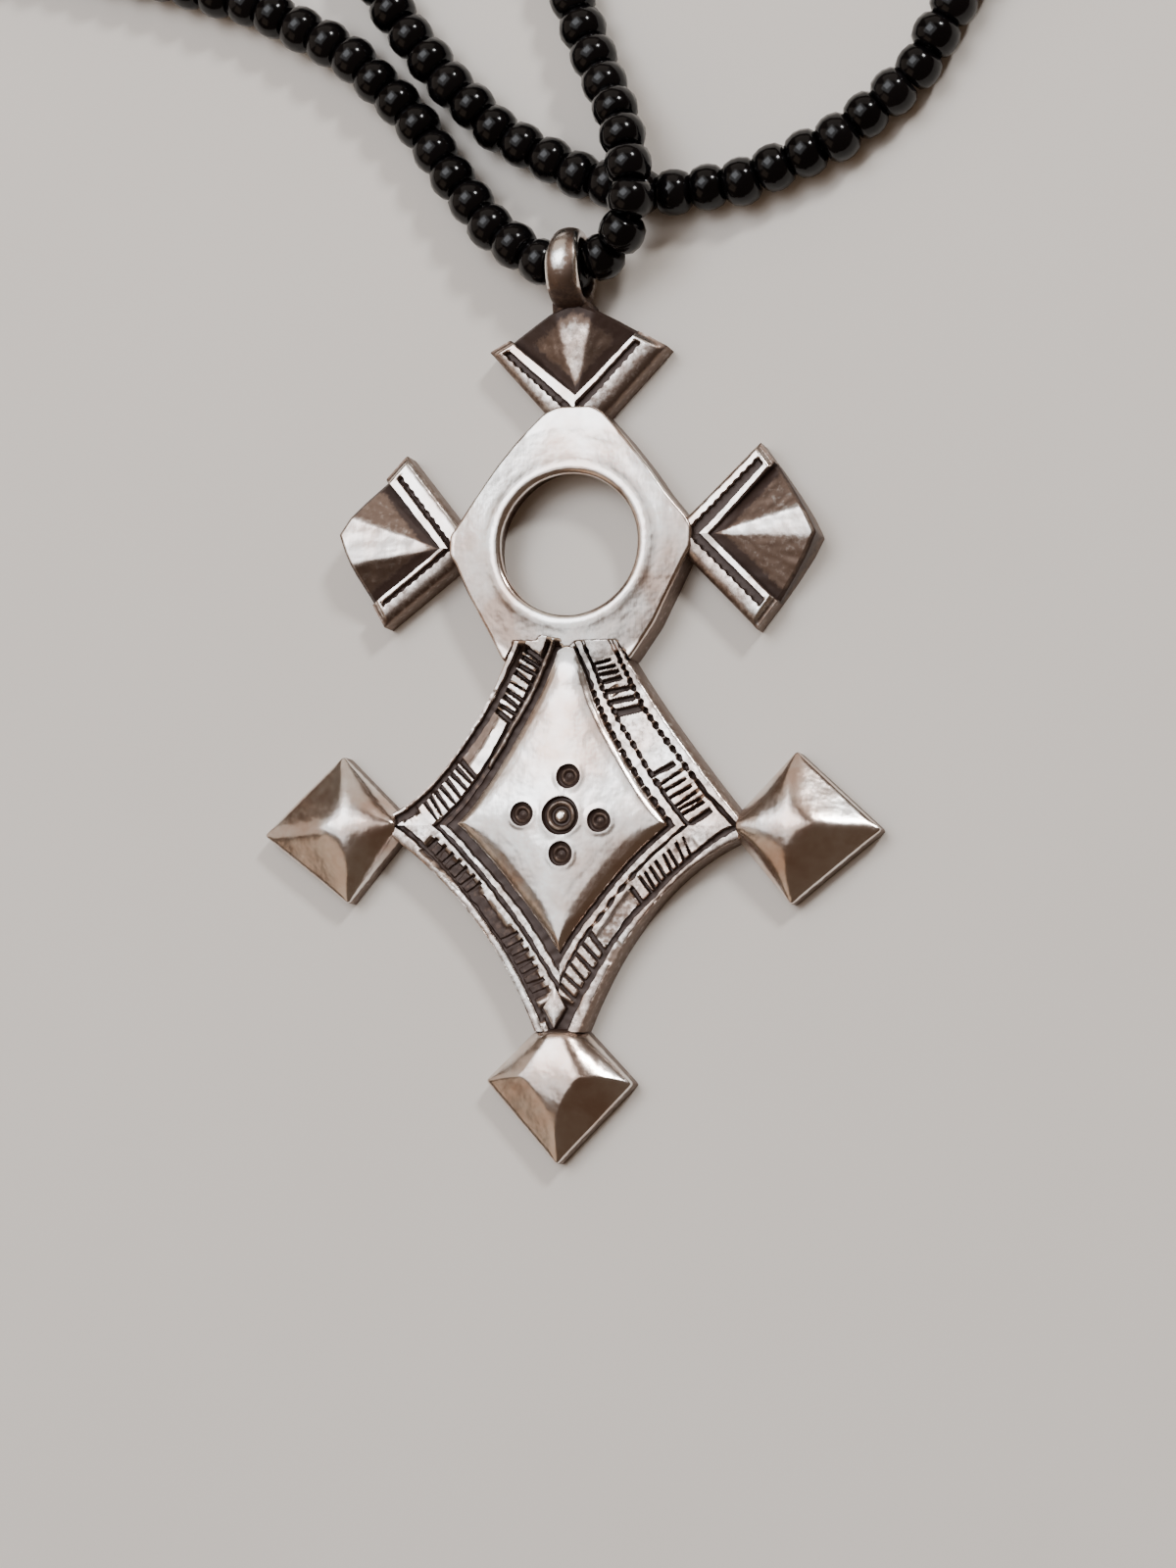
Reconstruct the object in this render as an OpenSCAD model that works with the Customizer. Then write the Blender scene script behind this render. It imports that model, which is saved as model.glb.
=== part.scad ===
/* [Plate] */
// Thickness of the silver at the rim of the lower lozenge
plate_t = 2.2; // [1.9:0.1:2.8]
// Thickness of the fans and points at their outer edges
edge_t = 1.5; // [1.2:0.1:1.8]
// Height of rims, bars and strips above the floors of their grooves
relief = 0.3; // [0.2:0.05:0.45]

/* [Round eye] */
// Height of the middle of the eye above the centre punch
eye_y = 18.3; // [17.6:0.1:20]
// Diameter of the eye
eye_d = 9.5; // [8:0.1:10]
// Width of the lip round the eye
lip_w = 0.9; // [0.5:0.1:1.3]
// Thickness at the crown of the lip
crown_t = 3.1; // [2.9:0.1:3.6]

/* [Upper body] */
// From the middle of the eye up to the neck of the top fan
body_up = 9; // [8.6:0.1:10.5]
// From the middle of the eye across to the neck of each side fan
body_side = 8; // [7.6:0.1:9.5]
// Width of the neck of the top fan
top_neck_w = 4.1; // [3:0.1:4.6]
// Width of the neck of each side fan
side_neck_w = 2.7; // [2.2:0.1:3.2]
// Height of the waist above the centre punch
waist_y = 10.5; // [10:0.1:11]
// Width of the waist
waist_w = 8.7; // [8:0.1:10]

/* [Lower lozenge] */
// Half of the width between the necks of the side points
lozenge_half_w = 12; // [11:0.1:14]
// From the centre punch down to the neck of the bottom point
lozenge_down = 14.3; // [13:0.1:16]
// How far the side corners lie below the centre punch
corner_drop = 0.6; // [0:0.1:1.2]
// Width of the neck of each side point
point_neck_w = 1.9; // [1.6:0.1:2.6]
// Width of the neck of the bottom point
bottom_neck_w = 3.4; // [2.6:0.1:4]

/* [Border] */
// Width of the plain rim along the edge
rim_w = 0.6; // [0.4:0.05:0.8]
// Width of each groove beside the band and the strip
groove_w = 0.25; // [0.2:0.05:0.4]
// Width of the hatched band
band_w = 1.6; // [1.3:0.05:1.8]
// Width of the thin strip inside the band
strip_w = 0.35; // [0.25:0.05:0.5]
// Distance from one bar of a ladder to the next
bar_pitch = 0.62; // [0.5:0.02:0.9]
// Width of one bar
bar_w = 0.34; // [0.25:0.01:0.4]

/* [Pillow and punches] */
// Height of the crest of the pillow above the rim
pillow_h = 0.8; // [0.5:0.05:1.1]
// Diameter of the centre punch
punch_d = 2.7; // [2.2:0.1:3]
// Diameter of the four punches round it
small_punch_d = 1.7; // [1.2:0.1:2]
// Distance of the four punches from the centre punch
punch_ring_r = 2.7; // [2.5:0.1:3.2]
// Depth of the punches
punch_h = 0.4; // [0.2:0.05:0.6]

/* [Fans] */
// Reach of the right fan from its neck to its tip
fan_reach = 9.2; // [8:0.1:10]
// Width of a fan across its corners
fan_w = 12.4; // [11:0.1:13.4]
// Reach of a fan's corners from its neck
fan_corner = 4.9; // [4.4:0.1:5.4]
// Width of each of the two strips along the inner edges of a fan
fan_strip_w = 0.75; // [0.5:0.05:1]
// Height of the middle facet of a fan above its strips
fan_rise = 0.45; // [0.3:0.05:0.8]

/* [Points] */
// Reach of a side point from its neck to its tip
point_reach = 9.6; // [8.5:0.1:11]
// Width of a point across its corners
point_w = 10.2; // [9:0.1:12]
// Reach of a point's corners from its neck
point_corner = 3.6; // [3.2:0.1:4.4]
// Height of the crest of a point above its edges
point_rise = 1.8; // [1.2:0.1:2.4]

/* [Bail] */
// Diameter of the hole of the bail
bail_hole_d = 3.9; // [3.7:0.1:4.4]
// Thickness of the band of the bail
bail_t = 0.8; // [0.6:0.1:1]
// Width of the band of the bail
bail_w = 2.3; // [1.8:0.1:2.8]
// Width of the block that the bail is soldered to
block_w = 2.7; // [2.4:0.1:3.4]
// How far the bail sits to the left of the middle line
bail_shift = 0.35; // [0:0.05:0.6]

/* [Bead string] */
// Diameter of the string of beads
bead_d = 3.1; // [2.6:0.1:3.2]

/* [Hidden] */
$fn = 48;

// Sizes that follow from the ones above
floor_z = plate_t - relief;
panel_z = plate_t - relief / 3;
corner_y = -corner_drop;
eye = [0, eye_y];
border_w = rim_w + band_w + strip_w + 3 * groove_w;
bail_r = bail_hole_d / 2 + bail_t;
// Reach of the top fan as a share of the right one's
top_reach = 0.82;
top_tip_y = eye_y + body_up + fan_reach * top_reach;
// How far the bail overlaps the top fan, and its block reaches over the fan and above the bail's
// middle
bail_sink = 0.5;
block_reach = 1.4;
block_rise = 0.3;
bail_y = top_tip_y + bail_r - bail_sink;
// How far a piece is sunk into the one below it, and a neck into the body
sink = 0.2;
neck_sink = 0.4;
// How much narrower the neck of a fan or point is than the flat that it grows from
neck_step = 0.3;
// Height of the low edges of a fan's middle facet, and how far they reach under the strips
facet_lip = 0.06;
facet_lap = 0.12;
// How much narrower the plain panels of the border are than its bars, on each side
panel_inset = 0.1;
// Where the left and right fans sit above the middle of the eye
left_fan_up = 0.1;
right_fan_up = 0.4;
// Outward bulge of the sides of the upper body, as a share of their length
body_bulge = 0.02;

// Middles of the necks of the three fans
top_neck = [0, eye_y + body_up];
left_neck = [-body_side, eye_y + left_fan_up];
right_neck = [body_side, eye_y + right_fan_up];

// Corners of the upper body and of the lower lozenge
waist_l = [-waist_w / 2, waist_y];
waist_r = [waist_w / 2, waist_y];
left_hi = [-lozenge_half_w, corner_y + point_neck_w / 2];
left_lo = [-lozenge_half_w, corner_y - point_neck_w / 2];
right_hi = [lozenge_half_w, corner_y + point_neck_w / 2];
right_lo = [lozenge_half_w, corner_y - point_neck_w / 2];
bottom_l = [-bottom_neck_w / 2, -lozenge_down];
bottom_r = [bottom_neck_w / 2, -lozenge_down];

// The four sides of the lozenge, anticlockwise from the waist. Columns: start, end, where along
// the chord the side is pulled in most, how far it is pulled in, and the stretches of its two
// ladders, all as shares of the chord.
SIDES = [
  [waist_l, left_hi, 0.70, 0.165, 0.00, 0.26, 0.58, 0.86],
  [left_lo, bottom_l, 0.50, 0.147, 0.22, 0.46, 0.56, 0.86],
  [bottom_r, right_lo, 0.60, 0.200, 0.12, 0.36, 0.58, 0.82],
  [right_hi, waist_r, 0.65, 0.030, 0.14, 0.38, 0.68, 0.98]
];
// The half plane that each side keeps to, so that two borders meet in a mitre at a corner
SIDE_TURN = [90, 180, 270, 0];

// The three fans. Columns: turn, neck in the plane, neck width, share of the reach, share of the
// corners' reach, share of the width.
FANS = [
  [90, top_neck, top_neck_w, top_reach, 0.92, 1.00],
  [0, right_neck, side_neck_w, 1.00, 1.00, 1.00],
  [174, left_neck, side_neck_w, 0.90, 0.94, 0.94]
];
// Outline of a fan from its corner to its tip. Columns: share of the way out, share of the half
// width.
FAN_ARC = [[0.33, 0.71], [0.62, 0.44], [0.85, 0.22]];

// The three points. Columns: turn, neck in the plane, neck width, share of the reach, share of
// the corners' reach, and where the crest starts and ends as shares of the reach.
POINTS = [
  [-1, [lozenge_half_w, corner_y], point_neck_w, 1.00, 1.00, 0.30, 0.58],
  [184, [-lozenge_half_w, corner_y], point_neck_w, 1.00, 1.00, 0.30, 0.58],
  [270, [0, -lozenge_down], bottom_neck_w, 0.93, 0.93, 0.12, 0.80]
];
// Rise of a point from its edge to its crest. Columns: share of the way in, share of the rise.
POINT_RISE = [[0.45, 0.55], [0.80, 0.88], [0.97, 1.00]];
// Half the width of the crest at its widest place, and where that is as a share of the crest
crest_half_w = 0.1;
crest_wide = 0.4;

// Rise of the upper body from its edge to the lip. Columns: share of the way in, share of the rise.
BODY_RISE = [[0.25, 0.55], [0.60, 0.85]];

// Rise of the pillow. Columns: size as a share of its outline, share of its height.
PILLOW_RISE = [[1.00, 0.20], [0.94, 0.55], [0.72, 0.82], [0.40, 0.96], [0.12, 1.00]];

// Distance of the pillow from the lines through its middle at its corners
pillow_gap = 0.15;

// Small punches round the centre one, as turns from the right
PUNCH_TURNS = [-6, 79, 177, 269];
// Tool mark of a punch. Columns: distance from its middle as a share of its diameter, share of its
// depth.
PUNCH_MARK = [[0.20, 0.4], [0.27, 1.0], [0.44, 1.0], [0.50, 0.0]];
// How far the small punches lie below the centre one, as a share of the pillow's height
punch_drop = 0.08;

// Route of the bead string in the plane and upwards, measured from the middle of the bail
ROUTE = [
  [0, 0, bail_r], [2.4, 0.7, 3.1], [4.2, 2.4, 4.3], [4.7, 4.6, 5], [4.2, 7.4, 4.8], [3.2, 10.3, 3.8],
  [1.6, 13.5, 2.5], [-0.1, 17.3, 1.7], [-4.5, 29.5, 1.6], [-9.5, 46, 1.6], [-12, 63.5, 1.6],
  [-9.5, 81, 1.6], [-1, 96.5, 1.6], [13, 107, 1.6], [30.5, 109.5, 1.6], [46, 101.5, 1.6],
  [55, 86.5, 1.6], [56.5, 69, 1.6], [51, 52, 1.6], [41.5, 37.5, 1.6], [32, 27, 1.6],
  [26.8, 19, 1.6], [23, 12.2, 1.6], [17.7, 8.1, 1.6], [11.5, 5.7, 1.6], [5.6, 5.1, 1.6],
  [0.5, 6.5, 1.6], [-5.7, 10, 1.6], [-9.7, 13.9, 1.6], [-13.4, 18.4, 1.6], [-19.5, 30, 1.6],
  [-25, 46.5, 1.6], [-28, 64, 1.6], [-33.5, 81, 1.6], [-45.5, 94, 1.6], [-62.5, 98.5, 1.6],
  [-79, 93.5, 1.6], [-90.5, 80, 1.6], [-94, 62.5, 1.6], [-87.5, 46, 1.6], [-73.5, 35.5, 1.6],
  [-56.5, 29.5, 1.6], [-39.5, 25.2, 1.6], [-24, 20.2, 1.6], [-17.2, 16.4, 1.6],
  [-12.3, 11.7, 1.65], [-9, 7, 1.9], [-5.8, 3, 2.2], [-2.5, 0.7, 2.6]
];
// Longest step from one ring of the string to the next
ring_step = 9.5;
// Sides of the string
string_sides = 8;

// Curves
function mix(a, b, t) = a + (b - a) * t;
function unit(v) = v / norm(v);
function to_left(v) = [-v[1], v[0]];
function pulled(a, b, along, inset) = mix(a, b, along) + to_left(b - a) * inset;
function curve_at(a, c, b, t) = mix(mix(a, c, t), mix(c, b, t), t);
function curve_dir(a, c, b, t) = unit(mix(c - a, b - c, t));
function bowed(a, b, bulge, n) = [for (i = [0:n - 1]) curve_at(a, pulled(a, b, 0.5, -bulge), b, i / n)];
function raised(points, z) = [for (p = points) [p[0], p[1], z]];

// A point of one side of the lozenge, moved in from the edge
function side_point(s, t, d) =
  let (c = pulled(s[0], s[1], s[2], s[3]))
  curve_at(s[0], c, s[1], t) + to_left(curve_dir(s[0], c, s[1], t)) * d;
function side_line(s, t0, t1, d, n = 14) = [for (i = [0:n]) side_point(s, mix(t0, t1, i / n), d)];
function backwards(list) = [for (i = [len(list) - 1:-1:0]) list[i]];

// A closed solid through rings of equal length, the first one the lowest. Its ends are closed
// from the first point of each end ring.
module loft(rings) {
  n = len(rings[0]);
  last = (len(rings) - 1) * n;
  sides = [
    for (r = [0:len(rings) - 2], i = [0:n - 1])
      let (a = r * n + i, b = r * n + (i + 1) % n)
        each [[a, a + n, b], [b, a + n, b + n]]
  ];
  low = [for (i = [1:n - 2]) [0, i, i + 1]];
  high = [for (i = [1:n - 2]) [last, last + i + 1, last + i]];
  polyhedron(points = [for (r = rings) each r], faces = concat(sides, low, high), convexity = 4);
}

// Upper body: a domed plate that rises from its outline to the lip round the eye
module upper_body() {
  top_half = [top_neck_w / 2, 0];
  side_half = [0, side_neck_w / 2];
  outline = concat(
    [top_neck + top_half],
    bowed(top_neck - top_half, left_neck + side_half, body_bulge, 7),
    [left_neck + side_half],
    bowed(left_neck - side_half, waist_l, body_bulge, 6),
    bowed(waist_l, waist_r, 0, 4),
    bowed(waist_r, right_neck - side_half, body_bulge, 6),
    [right_neck - side_half],
    bowed(right_neck + side_half, top_neck + top_half, body_bulge, 7)
  );
  lip_r = eye_d / 2 + lip_w;
  lip = [for (p = outline) eye + unit(p - eye) * lip_r];
  inner = [for (p = outline) eye + unit(p - eye) * (eye_d / 2 - sink)];
  dome = [
    for (r = BODY_RISE)
      raised([for (i = [0:len(outline) - 1]) mix(outline[i], lip[i], r[0])], mix(floor_z, crown_t, r[1]))
  ];
  loft(concat(
    [raised(outline, 0), raised(outline, floor_z)],
    dome,
    [raised(lip, crown_t), raised(inner, crown_t - relief)]
  ));
}

// Lower lozenge: the floor of its grooves, sunk into the upper body at the waist
module lozenge() {
  outline = concat(
    side_line(SIDES[0], 0, 1, 0),
    side_line(SIDES[1], 0, 1, 0),
    side_line(SIDES[2], 0, 1, 0),
    side_line(SIDES[3], 0, 1, 0),
    [waist_r + [-neck_sink, neck_sink], waist_l + [neck_sink, neck_sink]]
  );
  linear_extrude(floor_z) polygon(outline);
}

// A raised strip along one side, from one distance in to another
module side_strip(s, t0, t1, d0, d1, top) {
  translate([0, 0, floor_z - sink])
    linear_extrude(top - floor_z + sink)
      polygon(concat(side_line(s, t0, t1, d0), backwards(side_line(s, t0, t1, d1))));
}

// One ladder of bars across the band
module ladder(s, t0, t1) {
  chord = norm(s[1] - s[0]);
  count = max(2, round(chord * (t1 - t0) / bar_pitch));
  middle = rim_w + groove_w + band_w / 2;
  c = pulled(s[0], s[1], s[2], s[3]);
  for (i = [0:count]) {
    t = mix(t0, t1, i / count);
    dir = curve_dir(s[0], c, s[1], t);
    p = side_point(s, t, middle);
    translate([p[0], p[1], floor_z - sink])
      rotate(atan2(dir[1], dir[0]))
        translate([-bar_w / 2, -band_w / 2, 0])
          cube([bar_w, band_w, relief + sink]);
  }
}

// Border of one side: rim, hatched band with two ladders, and the thin strip inside it
module border(i) {
  s = SIDES[i];
  far = lozenge_half_w + lozenge_down + waist_y;
  band = rim_w + groove_w;
  strip = band + band_w + groove_w;
  intersection() {
    union() {
      side_strip(s, 0, 1, 0, rim_w, plate_t);
      side_strip(s, s[5], s[6], band + panel_inset, band + band_w - panel_inset, panel_z);
      side_strip(s, 0, 1, strip, strip + strip_w, plate_t);
      ladder(s, s[4], s[5]);
      ladder(s, s[6], s[7]);
    }
    translate([0, corner_y, 0])
      rotate(SIDE_TURN[i])
        cube([far, far, plate_t + 1]);
  }
}

// Pillow: the smooth domed field inside the borders
module pillow() {
  middle = [0, corner_y];
  ends = [[-1, 1], [-1, -1], [1, -1], [1, 1]];
  outline = [
    for (i = [0:3], p = side_line(SIDES[i], 0, 1, border_w, 20))
      if ((p[0] - middle[0]) * ends[i][0] > pillow_gap && (p[1] - middle[1]) * ends[i][1] > pillow_gap) p
  ];
  rings = [
    for (r = PILLOW_RISE) raised([for (p = outline) mix(middle, p, r[0])], plate_t + pillow_h * r[1])
  ];
  loft(concat([raised(outline, floor_z - sink)], rings));
}

// The tool mark of one punch: a sunk ring round a small boss
module punch_mark(d, depth) {
  top = plate_t + pillow_h;
  mark = [for (m = PUNCH_MARK) [m[0] * d, top - m[1] * depth]];
  rotate_extrude()
    polygon(concat([[mark[0][0], top + 1]], mark, [[d / 2, top + 1]]));
}

// One fan, its neck at the origin and its tip along X
module fan(neck_w, reach, corner, half_w) {
  half = (neck_w - neck_step) / 2;
  slope = (half_w - half) / corner;
  tilt = sqrt(1 + slope * slope);
  lower = [for (a = FAN_ARC) [mix(corner, reach, a[0]), -half_w * a[1]]];
  upper = [for (p = lower) [p[0], -p[1]]];
  outline = concat(
    [[-neck_sink, -half], [0, -half], [corner, -half_w]],
    lower,
    [[reach, 0]],
    backwards(upper),
    [[corner, half_w], [0, half], [-neck_sink, half]]
  );
  // A line along the upper inner edge, moved in by d: where it starts, and where it stops short
  // of the corner
  along = unit([corner, half_w - half]);
  start = function (d) half > d * tilt ? [0, half - d * tilt] : [(d * tilt - half) / slope, 0];
  stop = function (d, short) [corner, half_w] - along * short + [along[1], -along[0]] * d;
  second = fan_strip_w + groove_w;
  inside = 2 * fan_strip_w + groove_w;
  linear_extrude(floor_z) polygon(outline);
  for (m = [0, 1], d = [[0, fan_strip_w], [second, inside]])
    mirror([0, m, 0])
      translate([0, 0, floor_z - sink])
        linear_extrude(relief + sink)
          polygon(concat(
            [start(d[0]), stop(d[0], fan_strip_w), stop(d[1], fan_strip_w), start(d[1])],
            start(d[0])[1] > 0 && start(d[1])[1] == 0 ? [[0, 0]] : []
          ));
  // The middle facet rises outwards from the inner corner of the strips
  top = plate_t + fan_rise;
  apex = start(inside - facet_lap);
  foot = stop(inside - facet_lap, 0);
  ridge = [mix(corner, reach, FAN_ARC[2][0]), half_w * FAN_ARC[2][1]];
  base = [apex, [foot[0], -foot[1]], [ridge[0], -ridge[1]], [reach, 0], ridge, foot];
  low = floor_z + facet_lip;
  heights = [low, low, top, top, top, low];
  loft([raised(base, floor_z - sink), [for (i = [0:5]) [base[i][0], base[i][1], heights[i]]]]);
}

// One point: a pyramid on a plate, its neck at the origin and its tip along X
module point(neck_w, reach, corner, half_w, crest) {
  half = (neck_w - neck_step) / 2;
  inner = half - (half_w - half) / corner * neck_sink;
  outline = [[-neck_sink, -inner], [corner, -half_w], [reach, 0], [corner, half_w], [-neck_sink, inner]];
  from = [reach * crest[0], 0];
  to = [reach * crest[1], 0];
  wide = mix(from, to, crest_wide);
  ridge = [from, wide - [0, crest_half_w], to, wide + [0, crest_half_w], from];
  rings = [
    for (r = POINT_RISE)
      raised([for (i = [0:4]) mix(outline[i], ridge[i], r[0])], edge_t + point_rise * r[1])
  ];
  loft(concat([raised(outline, 0), raised(outline, edge_t)], rings));
}

// Bail: a ring for the string, soldered to a small block on the top fan
module bail() {
  block_low = top_tip_y - block_reach;
  inner_r = bail_r - bail_t - sink;
  edge_r = bail_r - bail_t / 2;
  inner_low = [inner_r, -bail_w / 2];
  inner_high = [inner_r, bail_w / 2];
  edge_low = [edge_r, -bail_w / 2];
  edge_high = [edge_r, bail_w / 2];
  face = bowed(edge_low, edge_high, bail_t / bail_w, 8);
  difference() {
    union() {
      translate([-bail_shift, bail_y, bail_r])
        rotate([0, 90, 0])
          rotate_extrude()
            polygon(concat([inner_low], face, [edge_high, inner_high]));
      translate([-bail_shift - block_w / 2, block_low, 0])
        cube([block_w, bail_y - bail_r + bail_t - block_low, bail_r + block_rise]);
    }
    translate([-bail_shift, bail_y, bail_r])
      rotate([0, 90, 0])
        cylinder(h = block_w + 1, d = bail_hole_d, center = true);
  }
}

// Silver cross: plate, borders, pillow, fans, points and bail, cast and soldered as one piece
module cross() {
  color("silver")
  difference() {
    union() {
      upper_body();
      lozenge();
      for (i = [0:3]) border(i);
      pillow();
      for (f = FANS)
        translate([f[1][0], f[1][1], 0])
          rotate(f[0])
            fan(f[2], fan_reach * f[3], fan_corner * f[4], fan_w / 2 * f[5]);
      for (p = POINTS)
        translate([p[1][0], p[1][1], 0])
          rotate(p[0])
            point(p[2], point_reach * p[3], point_corner * p[4], point_w / 2, [p[5], p[6]]);
      bail();
    }
    translate([0, eye_y, -1]) cylinder(h = crown_t + 2, d = eye_d);
    punch_mark(punch_d, punch_h);
    for (a = PUNCH_TURNS)
      rotate(a) translate([punch_ring_r, 0, -pillow_h * punch_drop]) punch_mark(small_punch_d, punch_h);
  }
}

// String of beads: one closed tube through the bail, along a smooth curve through its route
module bead_string() {
  n = len(ROUTE);
  p = function (i) ROUTE[(i + n) % n];
  // A point on the smooth curve between route points i and i + 1
  on_route = function (i, t)
    let (a = p(i - 1), b = p(i), c = p(i + 1), d = p(i + 2))
    b + 0.5 * t * (c - a + t * (2 * a - 5 * b + 4 * c - d + t * (3 * (b - c) + d - a)));
  line = [
    for (i = [0:n - 1])
      let (steps = ceil(norm(p(i + 1) - p(i)) / ring_step))
        for (k = [0:steps - 1]) on_route(i, k / steps)
  ];
  count = len(line);
  rings = [
    for (i = [0:count - 1])
      let (
        dir = unit(line[(i + 1) % count] - line[(i + count - 1) % count]),
        side = unit(cross(dir, [0, 0, 1])),
        up = cross(side, dir)
      )
        [for (k = [0:string_sides - 1])
          let (a = 360 * (k + 0.5) / string_sides)
            line[i] + (side * cos(a) + up * sin(a)) * bead_d / 2]
  ];
  faces = [
    for (i = [0:count - 1], k = [0:string_sides - 1])
      let (j = (i + 1) % count, l = (k + 1) % string_sides)
        each [
          [i * string_sides + k, i * string_sides + l, j * string_sides + k],
          [i * string_sides + l, j * string_sides + l, j * string_sides + k]
        ]
  ];
  color([0.05, 0.05, 0.06])
    translate([-bail_shift, bail_y, 0])
      polyhedron(points = [for (r = rings) each r], faces = faces, convexity = 8);
}

cross();
bead_string();
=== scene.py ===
"""Silver cross pendant on a closed string of black glass beads, with its floor, light and camera."""

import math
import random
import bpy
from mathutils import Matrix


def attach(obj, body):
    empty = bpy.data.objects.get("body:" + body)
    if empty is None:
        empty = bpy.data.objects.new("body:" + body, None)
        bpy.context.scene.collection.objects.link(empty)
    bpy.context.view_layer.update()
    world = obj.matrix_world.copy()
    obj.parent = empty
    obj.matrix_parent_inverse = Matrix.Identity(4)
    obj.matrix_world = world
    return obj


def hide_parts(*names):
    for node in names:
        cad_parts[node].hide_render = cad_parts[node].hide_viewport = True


bl_info = {
    "name": "Silver Cross Pendant",
    "version": (1, 0, 0),
    "blender": (4, 5, 0),
    "location": "View3D > Sidebar > Pendant",
    "description": "Models a cast silver cross pendant, engraved by hand, on its string of glass beads",
    "category": "Add Mesh",
}

from collections import namedtuple

import bmesh
import bpy
from mathutils import Matrix, Vector, noise

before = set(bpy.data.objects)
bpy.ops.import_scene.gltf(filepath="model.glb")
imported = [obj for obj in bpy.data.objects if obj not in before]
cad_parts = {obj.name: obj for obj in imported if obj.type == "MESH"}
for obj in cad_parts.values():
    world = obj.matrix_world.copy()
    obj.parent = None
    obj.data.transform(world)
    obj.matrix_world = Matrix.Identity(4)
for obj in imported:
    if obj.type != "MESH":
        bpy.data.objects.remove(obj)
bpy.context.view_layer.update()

# Sizes and places in the tables below are in millimetres, from the point under the centre punch on
# the flat back, unless their comment says metres. A finished piece of silver is brought to metres
# once.
MM = 0.001
SILVER = "patinated_cast_silver"
# An edge that turns by more degrees than this is drawn sharp, on the silver and on round pieces
SHARP, SHARP_ROUND = 38, 80
# Corners nearer than this are merged. Those of the beads and the thread are in metres.
MERGE = {
    "fine": 0.0005, "plate": 0.001, "arm": 0.002, "facets": 0.006, "block": 0.02, "bead": 1e-6,
    "thread": 1e-7,
}
# Points along an outline lie at most this far apart
OUTLINE_STEP = 0.16
# Hand-made unevenness. Columns: how far a surface or line departs, and how wide its waves are. The
# lip and the punches have theirs round a small circle, and the punches depart by a share.
UNEVEN = {
    "lip": (0.03, 1 / 3), "body": (0.015, 2.2), "border side": (0.03, 1.5), "border": (0.02, 0.9),
    "line": (0.07, 0.5), "long line": (0.03, 1.4), "cut": (0.02, 0.35), "groove floor": (0.05, 0.5),
    "pillow": (0.025, 2.6), "pillow edge": (0.03, 0.4), "punch": (0.035, 1.0), "strip": (0.015, 0.8),
    "strip line": (0.035, 0.45), "facet": (0.02, 0.7), "side facet": (0.035, 0.45), "point": (0.03, 2.2),
    "solder": (0.05, 0.7),
}

# Heights of the cast plate
RIM_Z = 2.2
FLOOR_Z = 1.78
# The walls stand straight up to this height from the floor
WALL_FOOT = 0.12
WALL_PATINA = 0.6

# Round eye
EYE = Vector((0.0, 18.3))
EYE_R = 4.75
CROWN_Z = 2.97
# From the edge of the eye outwards. Columns: distance, height, patina.
EYE_LIP = [
    (-0.02, 0.5, 0.6),
    (-0.02, 1.2, 0.6),
    (-0.02, 2.2, 0.55),
    (0.0, 2.54, 0.4),
    (0.05, 2.72, 0.1),
    (0.14, 2.84, 0.0),
    (0.32, 2.94, 0.0),
    (0.55, CROWN_Z, 0.0),
    (0.8, 2.94, 0.0),
    (1.05, 2.88, 0.0),
    (1.3, 2.82, 0.0),
    (1.6, 2.77, 0.0),
]
# The wall of the eye flares towards the back, this much in all, from the height where the faces begin
EYE_FLARE, FACE_Z = 0.8, 2.6
# From the foot of the lip outwards the body falls evenly to its edge. Distances from the eye's
# middle, and heights.
BODY_FALL = ((6.35, 8.2), (2.77, 2.45))
BODY_RINGS = 16
# Over the edge of the plate and down its side. Columns: distance inside the outline, height below
# the edge's top, patina.
EDGE_ROLL = [(0.16, 0.0, 0.0), (0.07, 0.04, 0.0), (0.015, 0.13, 0.1), (0.0, 0.3, WALL_PATINA)]
# The lozenge's border and pillow climb to the body's height between these two places, and meet it
# along a line: the foot of the lip, and places on the plate that differ beside the tips of the
# grooves. Beyond it each dives under the other, by so much times the square of the distance, down
# to a depth.
CLIMB_Y = (8.3, 11.2)
MERGE_R = 6.42
MERGE_LINE = [
    (-2.1, (11.75,)), (-1.6, (12.3,)), (-0.75, (13.0,)), (-0.35, (11.4,)), (0.35, (11.4,)), (0.75, (11.75,)),
]
DIVE, DIVE_DEPTH = 4.0, 0.9
# The body dives only this far inside the border's outer edges, and darkens by so much per millimetre
SINK_SOFT = (0.18, 0.02)
SINK_PATINA = 6
# How the outer edges of the border lean in above the waist, left and right
WAIST_LEAN = (0.42, 0.627)

# Outline of the upper body, anticlockwise from the right side of the top neck
BODY_OUTLINE = [
    (2.05, 27.3),
    (1.2, 27.75),
    (-1.2, 27.75),
    (-2.15, 27.3),
    (-3.95, 25.5),
    (-5.35, 23.75),
    (-6.75, 21.7),
    (-8.05, 19.75),
    (-8.55, 19.1),
    (-8.55, 17.8),
    (-8.1, 17.15),
    (-7.1, 15.05),
    (-5.8, 12.8),
    (-4.5, 10.45),
    (-3.8, 10.1),
    (3.8, 10.1),
    (4.4, 10.55),
    (6.0, 12.95),
    (7.15, 15.4),
    (8.05, 17.35),
    (8.4, 18.0),
    (8.4, 19.4),
    (8.05, 20.05),
    (6.6, 21.75),
    (5.3, 23.55),
    (3.75, 25.45),
]

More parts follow.
